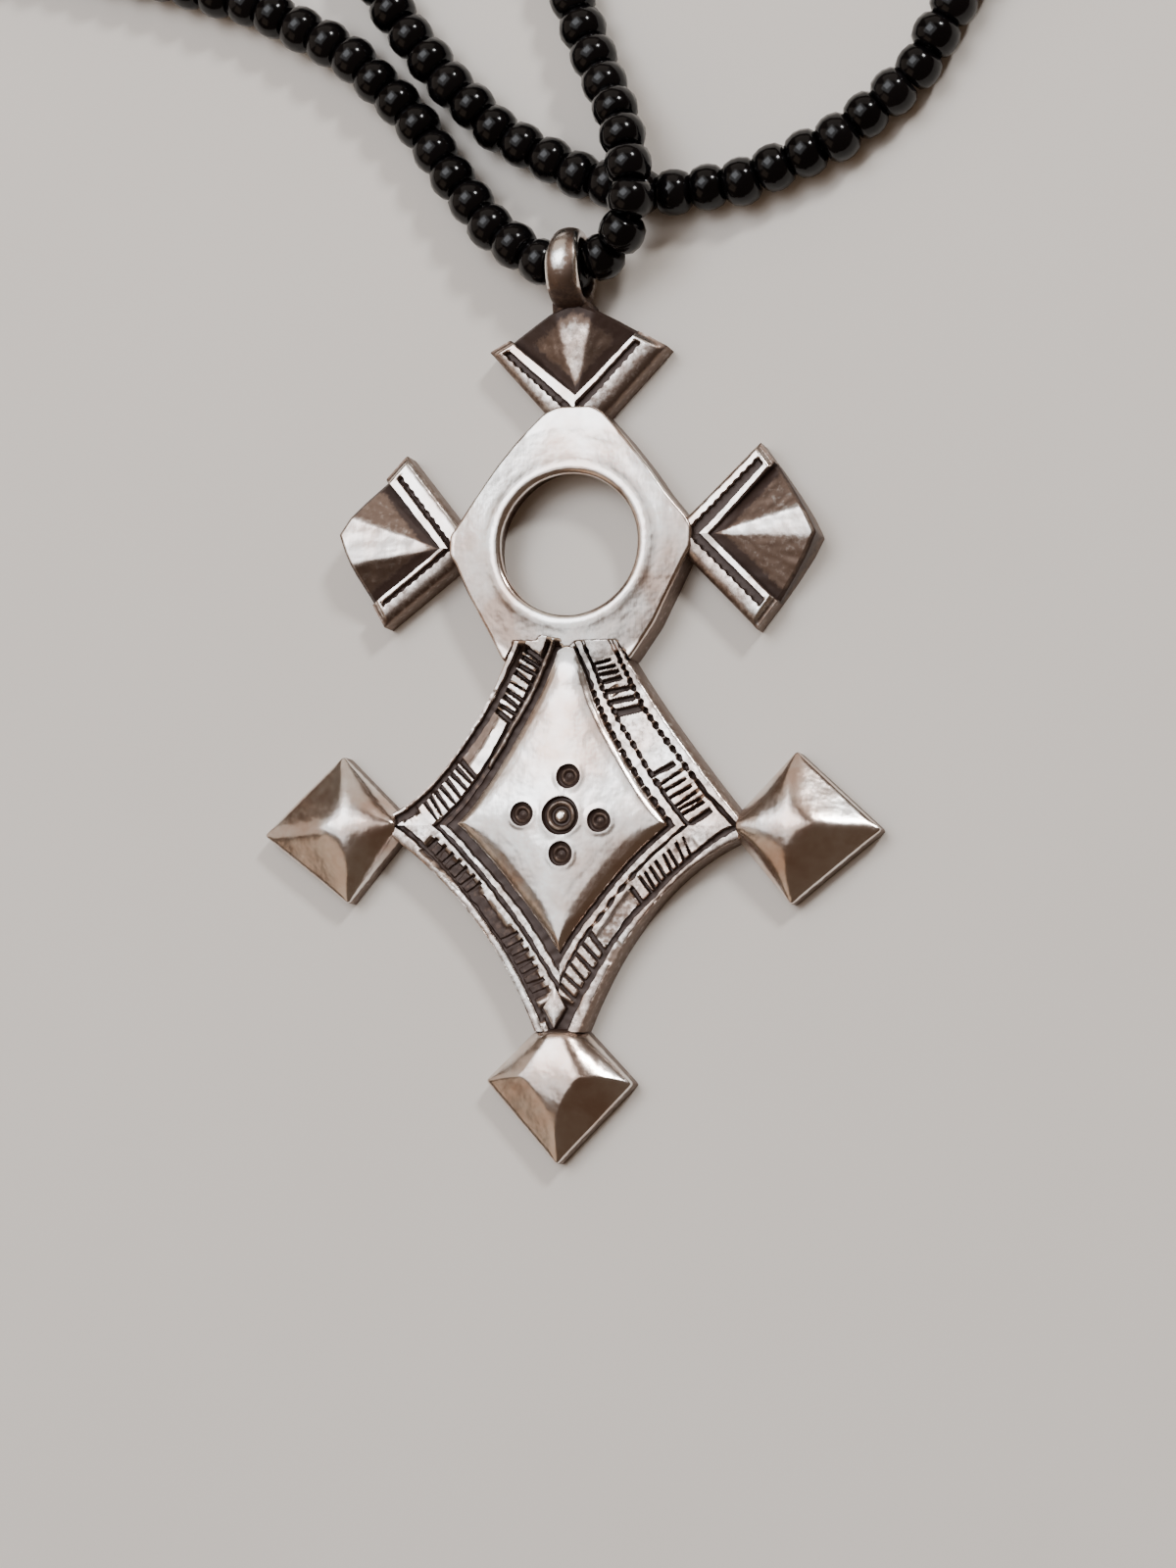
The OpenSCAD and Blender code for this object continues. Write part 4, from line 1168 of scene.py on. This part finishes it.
def bail_band():
    """The rounded band of the bail, bent into a ring, narrower at its top, with a painted highlight in front.
    """
    bm = new_bmesh()
    patina = bm.verts.layers.float["patina"]
    inner, half = BAIL_R - BAIL_T, BAIL_W / 2
    flank = [(inner + up, across * half, dark) for up, across, dark in BAIL_FLANK]
    section = [(r, -across, dark) for r, across, dark in flank]
    for k in range(BAIL_ARC_STEPS + 1):
        angle = math.pi * (k / BAIL_ARC_STEPS - 0.5)
        r = inner + BAIL_SHOULDER + (BAIL_T - BAIL_SHOULDER) * max(math.cos(angle), 0.0) ** BAIL_FULLNESS
        end = k in (0, 1, BAIL_ARC_STEPS - 1, BAIL_ARC_STEPS)
        section.append((r, half * math.sin(angle), BAIL_EDGE_PATINA if end else BAIL_FACE_PATINA))
    section += reversed(flank)
    corners = [(across, 0.0, r) for r, across, _ in section]
    closed_section(bm, corners, patina, [dark for _, _, dark in section])
    spin_round(bm, (1, 0, 0), BAIL_STEPS, "fine")
    for v in bm.verts:
        v.co.x *= 1 - BAIL_TAPER * ease(BAIL_TAPER_FROM, 1.0, v.co.y / BAIL_R)
        # The band's patina is thinned where it faces the viewer, as a painted highlight
        around = math.degrees(math.atan2(v.co.z, v.co.y))
        rubbed = ease(*PAINTED_HIGHLIGHT_FROM, around) * (1 - ease(*PAINTED_HIGHLIGHT_TO, around))
        rubbed *= 1 - ease(*PAINTED_HIGHLIGHT_ACROSS, abs(v.co.x - PAINTED_HIGHLIGHT_X) / half)
        if math.hypot(v.co.y, v.co.z) > inner + BAIL_SHOULDER:
            v[patina] = mix(v[patina], PAINTED_HIGHLIGHT_PATINA, rubbed)
        v[patina] = mix(v[patina], BAIL_FOOT_PATINA, 1 - ease(*BAIL_FOOT, v.co.y))
    bmesh.ops.translate(bm, vec=(BAIL_X, BAIL_Y, BAIL_R), verts=bm.verts)
    bmesh.ops.recalc_face_normals(bm, faces=bm.faces)
    return bm


def bail_block():
    """The small block under the bail, rounded and lumpy with solder."""
    bm = new_bmesh()
    patina = bm.verts.layers.float["patina"]
    high_y = BAIL_Y - BAIL_R + BAIL_T - BLOCK_GAP
    bmesh.ops.create_cube(bm, size=1.0)
    bmesh.ops.scale(bm, vec=(BLOCK_W, high_y - BLOCK_Y, BLOCK_H), verts=bm.verts)
    bmesh.ops.bevel(
        bm, geom=bm.edges[:], offset=BLOCK_ROUND, segments=4, profile=0.5, affect="EDGES", material=-1
    )
    long_edges = [e for e in bm.edges if e.calc_length() > 1]
    bmesh.ops.subdivide_edges(bm, edges=long_edges, cuts=6, use_grid_fill=True)
    bmesh.ops.translate(bm, vec=(BAIL_X, (BLOCK_Y + high_y) / 2, BLOCK_H / 2), verts=bm.verts)
    for v in bm.verts:
        if v.co.z > BLOCK_H / 2:
            v.co.z = mix(min(v.co.z, BLOCK_LOW_H), v.co.z, ease(BLOCK_Y, high_y, v.co.y))
        v.co += Vector((1.0, 1.0, 1.0)) * uneven("solder", *v.co)
        v.co.z = max(v.co.z, 0.0)
        v[patina] = BLOCK_PATINA
    merge(bm, "block")
    bmesh.ops.recalc_face_normals(bm, faces=bm.faces)
    return bm


def route_points(step):
    """Points a step apart along the string's smooth closed route, in metres. A bead that rests on the
    floor has height 0 here."""
    near = 1 - DRAWN_IN
    route = []
    for x, y, z in ROUTE:
        route.append(Vector((x * near + BAIL_X * MM, y * near + BAIL_Y * MM, (z - ROUTE_LOW) * RISE_SCALE)))
    count = len(route)
    line = []
    for i in range(count):
        a, b, c, d = (route[(i + k) % count] for k in (-1, 0, 1, 2))
        steps = math.ceil((c - b).length / RING_STEP)
        for k in range(steps):
            t = k / steps
            line.append(b + 0.5 * t * (c - a + t * (2 * a - 5 * b + 4 * c - d + t * (3 * (b - c) + d - a))))
    lengths = [0.0]
    for a, b in zip(line, line[1:] + line[:1]):
        lengths.append(lengths[-1] + (b - a).length)
    number = round(lengths[-1] / step)
    points, k = [], 0
    for i in range(number):
        target = lengths[-1] * i / number
        while lengths[k + 1] < target:
            k += 1
        share = (target - lengths[k]) / (lengths[k + 1] - lengths[k])
        points.append(line[k].lerp(line[(k + 1) % len(line)], share))
    return points


def heading(points, i):
    """The direction of the string at one of its points."""
    return (points[(i + 1) % len(points)] - points[i - 1]).normalized()


def glass_bead(point, ahead, radius, half, rng):
    """One bead on the string, in metres: its section spun round its hole, then set a little askew."""
    bm = new_bmesh("shade")
    size, tone = rng.uniform(*BEAD_SIZES), rng.random()
    corners = [(r * radius * size, 0.0, z * half * rng.uniform(*BEAD_ENDS)) for r, z in BEAD_SECTION]
    closed_section(bm, corners, bm.verts.layers.float["shade"], [tone] * len(corners))
    spin_round(bm, (0, 0, 1), BEAD_STEPS, "bead")
    tilts = [Matrix.Rotation(rng.uniform(-BEAD_TILT, BEAD_TILT), 4, axis) for axis in "XY"]
    spin = Matrix.Rotation(rng.uniform(0, math.tau), 4, "Z")
    turn = ahead.to_track_quat("Z", "Y").to_matrix().to_4x4()
    place = Matrix.Translation(point + Vector((0.0, 0.0, size * radius)))
    bmesh.ops.transform(bm, matrix=place @ turn @ (tilts[0] @ tilts[1]) @ spin, verts=bm.verts)
    bmesh.ops.recalc_face_normals(bm, faces=bm.faces)
    return bm


def string_thread(points, lift, radius):
    """The thread through the beads, in metres, this far above the string's points."""
    count, sides = len(points), THREAD_SIDES
    bm = bmesh.new()
    made = bmesh.ops.create_grid(bm, x_segments=count, y_segments=sides, size=0.5)["verts"]
    for v in made:
        i, j = round((v.co.x + 0.5) * count) % count, round((v.co.y + 0.5) * sides) % sides
        ahead = heading(points, i)
        side = ahead.cross(Vector((0, 0, 1))).normalized()
        across = direction(math.tau * j / sides) * radius
        v.co = points[i] + Vector((0.0, 0.0, lift)) + side * across.x + side.cross(ahead) * across.y
    merge(bm, "thread")
    bmesh.ops.recalc_face_normals(bm, faces=bm.faces)
    return bm


def plug(tree, node, inputs):
    """Links a node's inputs to sockets, or sets them to values."""
    for key, value in inputs.items():
        if isinstance(value, bpy.types.NodeSocket):
            tree.links.new(value, node.inputs[key])
        else:
            node.inputs[key].default_value = value


def add_node(tree, kind, inputs=None, **settings):
    """Adds a node, sets its properties, and links or sets its inputs."""
    node = tree.nodes.new(kind)
    for key, value in settings.items():
        setattr(node, key, value)
    plug(tree, node, inputs or {})
    return node


def new_material(name):
    """A material with its shader and its coordinates on the piece."""
    material = bpy.data.materials.new(name)
    material.use_nodes = True
    tree = material.node_tree
    shader = tree.nodes["Principled BSDF"]
    place = add_node(tree, "ShaderNodeTexCoord").outputs["Object"]
    return material, tree, shader, place


def patinated_silver(settings):
    """Cast silver, filed, engraved and rubbed bright, with dark sulphide patina left in its hollows."""
    material, tree, shader, place = new_material(SILVER)
    patina = add_node(tree, "ShaderNodeAttribute", attribute_name="patina").outputs["Fac"]
    # Cloudy edges of the patina, about 0.4 mm across
    cloud = add_node(tree, "ShaderNodeTexNoise", {
        "Vector": place, "Scale": 1 / (0.4 * MM), "Detail": 4.0, "Roughness": 0.6})
    pushed = add_node(tree, "ShaderNodeMath", {0: cloud.outputs["Fac"], 1: 0.5}, operation="SUBTRACT")
    shifted = add_node(tree, "ShaderNodeMath", {
        0: pushed.outputs[0], 1: 0.7, 2: patina}, operation="MULTIPLY_ADD")
    # Thin patina is a brown film, and thick patina is dark and hardly metallic
    brown, dark = (
        add_node(tree, "ShaderNodeMapRange", {"Value": shifted.outputs[0], "From Min": low, "From Max": high},
                 interpolation_type="SMOOTHSTEP").outputs["Result"]
        for low, high in ((0.22, 0.6), (0.62, 0.92))
    )
    # Faint warm film that polishing leaves on the open faces, in patches about 5 mm across
    film = add_node(tree, "ShaderNodeTexNoise", {
        "Vector": place, "Scale": 1 / (5 * MM), "Detail": 5.0, "Roughness": 0.6})
    patches = add_node(tree, "ShaderNodeMapRange", {
        "Value": film.outputs["Fac"], "From Min": 0.38, "From Max": 0.66}).outputs["Result"]
    colour = linear(settings.silver_light)
    for factor, code in (
        (patches, settings.silver_warm), (brown, settings.film_colour), (dark, settings.patina_colour),
    ):
        colour = add_node(tree, "ShaderNodeMix", {
            "Factor": factor, "A": colour, "B": linear(code)}, data_type="RGBA").outputs["Result"]
    metallic = add_node(tree, "ShaderNodeMapRange", {"Value": dark, "To Min": 1.0, "To Max": 0.3})
    # Rubbed silver is never a mirror: wear in patches from 0.9 mm down spreads its shine unevenly
    wear = add_node(tree, "ShaderNodeTexNoise", {
        "Vector": place, "Scale": 1 / (0.9 * MM), "Detail": 6.0, "Roughness": 0.7})
    worn = add_node(tree, "ShaderNodeMapRange", {
        "Value": wear.outputs["Fac"], "From Min": 0.3, "From Max": 0.7, "To Min": 0.15, "To Max": 0.25})
    rough = add_node(tree, "ShaderNodeMix", {"Factor": brown, "A": worn.outputs["Result"], "B": 0.45})
    # Hammered unevenness about 1.2 mm across, and file and polishing scratches about 0.12 mm apart
    hammered = add_node(tree, "ShaderNodeTexNoise", {"Vector": place, "Scale": 1 / (1.2 * MM), "Detail": 2.0})
    stretch = add_node(tree, "ShaderNodeMapping", {
        "Vector": place, "Rotation": (0.0, 0.0, 0.7), "Scale": (1.0, 0.06, 1.0)})
    scratch = add_node(tree, "ShaderNodeTexNoise", {
        "Vector": stretch.outputs[0], "Scale": 1 / (0.12 * MM), "Detail": 3.0})
    low = add_node(tree, "ShaderNodeBump", {
        "Height": hammered.outputs["Fac"], "Strength": 0.45, "Distance": 0.08 * MM})
    fine = add_node(tree, "ShaderNodeBump", {
        "Height": scratch.outputs["Fac"], "Strength": 0.1, "Distance": 0.02 * MM, "Normal": low.outputs[0]})
    plug(tree, shader, {
        "Base Color": colour, "Metallic": metallic.outputs["Result"], "Roughness": rough.outputs["Result"],
        "Normal": fine.outputs[0]})
    return material


def bead_glass(settings):
    """Pressed black glass, fire-polished: opaque, with a sharp white highlight."""
    material, tree, shader, place = new_material("black_pressed_glass")
    shade = add_node(tree, "ShaderNodeAttribute", attribute_name="shade").outputs["Fac"]
    colour = add_node(tree, "ShaderNodeMix", {
        "Factor": shade, "A": linear(settings.dark), "B": linear(settings.light)}, data_type="RGBA")
    # Smears of handling about 0.8 mm across, and the ripple of pressing about 0.7 mm across
    smear = add_node(tree, "ShaderNodeTexNoise", {"Vector": place, "Scale": 1 / (0.8 * MM), "Detail": 4.0})
    rough = add_node(tree, "ShaderNodeMapRange", {
        "Value": smear.outputs["Fac"], "To Min": 0.08, "To Max": 0.2})
    ripple = add_node(tree, "ShaderNodeTexNoise", {"Vector": place, "Scale": 1 / (0.7 * MM), "Detail": 1.0})
    bump = add_node(tree, "ShaderNodeBump", {
        "Height": ripple.outputs["Fac"], "Strength": 0.2, "Distance": 0.05 * MM})
    plug(tree, shader, {
        "Base Color": colour.outputs["Result"], "IOR": 1.46, "Specular IOR Level": 0.3,
        "Roughness": rough.outputs["Result"], "Normal": bump.outputs[0]})
    return material


def waxed_thread():
    """Twisted black cotton, waxed: dull, with a ply about 0.25 mm apart."""
    material, tree, shader, place = new_material("waxed_cotton_thread")
    ply = add_node(tree, "ShaderNodeTexNoise", {"Vector": place, "Scale": 1 / (0.25 * MM), "Detail": 2.0})
    colour = add_node(tree, "ShaderNodeMix", {
        "Factor": ply.outputs["Fac"], "A": linear("#0d0b0b"), "B": linear("#241f1d")}, data_type="RGBA")
    bump = add_node(tree, "ShaderNodeBump", {
        "Height": ply.outputs["Fac"], "Strength": 0.4, "Distance": 0.05 * MM})
    plug(tree, shader, {
        "Base Color": colour.outputs["Result"], "Roughness": 0.7, "Normal": bump.outputs[0]})
    return material


def pale_floor(settings):
    """Matt painted board, with a tone that drifts over about 25 mm."""
    material, tree, shader, place = new_material("matt_pale_board")
    tone = add_node(tree, "ShaderNodeTexNoise", {"Vector": place, "Scale": 1 / (25 * MM), "Detail": 3.0})
    colour = add_node(tree, "ShaderNodeMix", {
        "Factor": tone.outputs["Fac"], "A": linear(settings.floor_light), "B": linear(settings.floor_dark)},
        data_type="RGBA")
    plug(tree, shader, {"Base Color": colour.outputs["Result"], "Roughness": 0.85})
    return material


class PendantSilver(bpy.types.PropertyGroup):
    silver_light: bpy.props.StringProperty(
        name="Bright silver", description="Colour of the rubbed silver", default="#f1eeea")
    silver_warm: bpy.props.StringProperty(
        name="Warm silver", description="Colour of the silver under its film", default="#d0b8aa")
    film_colour: bpy.props.StringProperty(
        name="Film", description="Colour of the thin brown film", default="#78665b")
    patina_colour: bpy.props.StringProperty(
        name="Patina", description="Colour of the dark patina", default="#3d2c25")


class PendantBeads(bpy.types.PropertyGroup):
    diameter: bpy.props.FloatProperty(
        name="Bead diameter", description="Across one bead", default=0.0033, min=0.002, max=0.004,
        unit="LENGTH", precision=5)
    pitch: bpy.props.FloatProperty(
        name="Bead pitch", description="From one bead to the next", default=0.00235, min=0.001, max=0.004,
        unit="LENGTH", precision=5)
    thread: bpy.props.FloatProperty(
        name="Thread diameter", description="Across the thread", default=0.0006, min=0.0002, max=0.001,
        unit="LENGTH", precision=5)
    dark: bpy.props.StringProperty(
        name="Glass", description="Colour of the glass", default="#050405")
    light: bpy.props.StringProperty(
        name="Paler glass", description="Colour of the palest beads", default="#0e0c0d")


class PendantStage(bpy.types.PropertyGroup):
    floor_light: bpy.props.StringProperty(
        name="Floor", description="Colour of the floor", default="#f7f1e9")
    floor_dark: bpy.props.StringProperty(
        name="Floor shade", description="Darker tone of the floor", default="#f1eae1")
    floor_size: bpy.props.FloatProperty(
        name="Floor size", description="Across the floor", default=1.6, unit="LENGTH")


def silver_piece(context, name, solids):
    """One piece of the cross, gathered from its closed solids, in the cross's one silver."""
    whole = new_bmesh()
    for solid in solids:
        gather(whole, solid)
    silver = bpy.data.materials.get(SILVER) or patinated_silver(context.scene.pendant_silver)
    piece = finished(whole, name, silver)
    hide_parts("cross")
    return {"FINISHED"}


class PENDANT_OT_eye_plate(bpy.types.Operator):
    """Models the plate round the eye, with its raised lip"""

    bl_idname = "pendant.eye_plate"
    bl_label = "Eye plate"

    def execute(self, context):
        return silver_piece(context, "eye_plate", [upper_body()])


class PENDANT_OT_border(bpy.types.Operator):
    """Models the engraved border of the lozenge, with the small diamond at its foot"""

    bl_idname = "pendant.border"
    bl_label = "Lozenge border"

    def execute(self, context):
        solids = [side_border(side, k + 1) for k, side in enumerate(SIDES)]
        return silver_piece(context, "lozenge_border", solids + [neck_plate()])


class PENDANT_OT_pillow(bpy.types.Operator):
    """Models the smooth domed field inside the border, with its punch marks"""

    bl_idname = "pendant.pillow"
    bl_label = "Punched field"

    def execute(self, context):
        return silver_piece(context, "punched_field", [punched_pillow()])


class PENDANT_OT_fans(bpy.types.Operator):
    """Models the three fans, each of two grooved arms and three facets"""

    bl_idname = "pendant.fans"
    bl_label = "Fans"

    def execute(self, context):
        solids = []
        for k, fan in enumerate(FANS):
            solids += [fan_strips(fan, True, k + 1), fan_strips(fan, False, k + 11), fan_facets(fan, k + 21)]
        return silver_piece(context, "fans", solids)


class PENDANT_OT_points(bpy.types.Operator):
    """Models the three pyramid points"""

    bl_idname = "pendant.points"
    bl_label = "Points"

    def execute(self, context):
        return silver_piece(context, "points", [point_arm(point, k + 31) for k, point in enumerate(POINTS)])


class PENDANT_OT_bail(bpy.types.Operator):
    """Models the bail on its soldered block"""

    bl_idname = "pendant.bail"
    bl_label = "Bail"

    def execute(self, context):
        return silver_piece(context, "bail", [bail_band(), bail_block()])


class PENDANT_OT_beads(bpy.types.Operator):
    """Threads the black glass beads along the string's route"""

    bl_idname = "pendant.beads"
    bl_label = "Glass beads"

    def execute(self, context):
        settings = context.scene.pendant_beads
        points = route_points(settings.pitch)
        rng = random.Random(BEAD_SEED)
        whole = new_bmesh("shade")
        for i, point in enumerate(points):
            radius, half = settings.diameter / 2, settings.pitch * BEAD_HALF
            gather(whole, glass_bead(point, heading(points, i), radius, half, rng))
        piece = finished(whole, "glass_beads", bead_glass(settings), SHARP_ROUND, unit=1.0)
        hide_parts("bead_string")
        return {"FINISHED"}


class PENDANT_OT_thread(bpy.types.Operator):
    """Lays the thread through the beads"""

    bl_idname = "pendant.thread"
    bl_label = "Thread"

    def execute(self, context):
        settings = context.scene.pendant_beads
        bm = string_thread(route_points(settings.pitch), settings.diameter / 2, settings.thread / 2)
        piece = finished(bm, "thread", waxed_thread(), SHARP_ROUND, unit=1.0)
        return {"FINISHED"}


def add_light(name, place, aim, size, brightness, colour):
    """A soft rectangular light of even brightness at a place, turned towards an aim."""
    data = bpy.data.lights.new(name, "AREA")
    data.shape, data.size, data.size_y = "RECTANGLE", size[0], size[1]
    data.energy, data.color = brightness * math.pi * size[0] * size[1], linear(colour)[:3]
    lamp = bpy.data.objects.new(name, data)
    lamp.location = place
    lamp.rotation_mode = "QUATERNION"
    lamp.rotation_quaternion = (Vector(aim) - Vector(place)).to_track_quat("-Z", "Y")
    bpy.context.scene.collection.objects.link(lamp)


def add_camera():
    """The camera at the photograph's angle, which keeps AIM at its pixel by its lens shift."""
    toward = Vector((math.sin(YAW) * math.cos(PITCH), -math.sin(PITCH), math.cos(YAW) * math.cos(PITCH)))
    right = Vector((0.0, 1.0, 0.0)).cross(toward).normalized()
    up = toward.cross(right)
    right, up = right * math.cos(ROLL) + up * math.sin(ROLL), up * math.cos(ROLL) - right * math.sin(ROLL)
    data = bpy.data.cameras.new("camera")
    data.sensor_fit, data.sensor_width = "AUTO", SENSOR_W
    data.lens = FOCAL_PIXELS * SENSOR_W / PICTURE_H
    data.shift_x = (PICTURE_W / 2 - AIM_PIXEL[0]) / PICTURE_H
    data.shift_y = (AIM_PIXEL[1] - PICTURE_H / 2) / PICTURE_H
    data.clip_start, data.clip_end = CLIP
    camera = bpy.data.objects.new("camera", data)
    turn = Matrix((right, up, toward)).transposed().to_4x4()
    camera.matrix_world = Matrix.Translation(AIM + toward * CAMERA_DISTANCE) @ turn
    bpy.context.scene.collection.objects.link(camera)
    bpy.context.scene.camera = camera


class PENDANT_OT_stage(bpy.types.Operator):
    """Sets the floor, the soft studio light and the camera"""

    bl_idname = "pendant.stage"
    bl_label = "Stage"

    def execute(self, context):
        settings = context.scene.pendant_stage
        bm = bmesh.new()
        bmesh.ops.create_grid(bm, x_segments=2, y_segments=2, size=settings.floor_size / 2)
        floor = linked(bm, "floor")
        floor.data.materials.append(pale_floor(settings))

        world = bpy.data.worlds.new("room")
        context.scene.world = world
        world.use_nodes = True
        plug(world.node_tree, world.node_tree.nodes["Background"], {
            "Color": linear(ROOM_COLOUR), "Strength": ROOM_STRENGTH})
        for row in LIGHTS:
            add_light(*row)
        add_camera()
        return {"FINISHED"}


class PENDANT_PT_panel(bpy.types.Panel):
    """Lists the pendant's pieces and their sizes and colours"""

    bl_label = "Pendant"
    bl_idname = "PENDANT_PT_panel"
    bl_space_type = "VIEW_3D"
    bl_region_type = "UI"
    bl_category = "Pendant"

    def draw(self, context):
        for group in (context.scene.pendant_silver, context.scene.pendant_beads, context.scene.pendant_stage):
            box = self.layout.box()
            for name in group.__annotations__:
                box.prop(group, name)
        for operator in OPERATORS:
            self.layout.operator(operator.bl_idname)


GROUPS = {"pendant_silver": PendantSilver, "pendant_beads": PendantBeads, "pendant_stage": PendantStage}
OPERATORS = (
    PENDANT_OT_stage, PENDANT_OT_eye_plate, PENDANT_OT_border, PENDANT_OT_pillow, PENDANT_OT_fans,
    PENDANT_OT_points, PENDANT_OT_bail, PENDANT_OT_beads, PENDANT_OT_thread,
)


def register():
    for cls in (*GROUPS.values(), *OPERATORS, PENDANT_PT_panel):
        bpy.utils.register_class(cls)
    for name, cls in GROUPS.items():
        setattr(bpy.types.Scene, name, bpy.props.PointerProperty(type=cls))


def unregister():
    for name in GROUPS:
        delattr(bpy.types.Scene, name)
    for cls in (PENDANT_PT_panel, *reversed(OPERATORS), *reversed(GROUPS.values())):
        bpy.utils.unregister_class(cls)


def main():
    register()
    bpy.ops.pendant.stage()
    bpy.ops.pendant.eye_plate()
    bpy.ops.pendant.border()
    bpy.ops.pendant.pillow()
    bpy.ops.pendant.fans()
    bpy.ops.pendant.points()
    bpy.ops.pendant.bail()
    bpy.ops.pendant.beads()
    bpy.ops.pendant.thread()


if __name__ == "__main__":
    main()
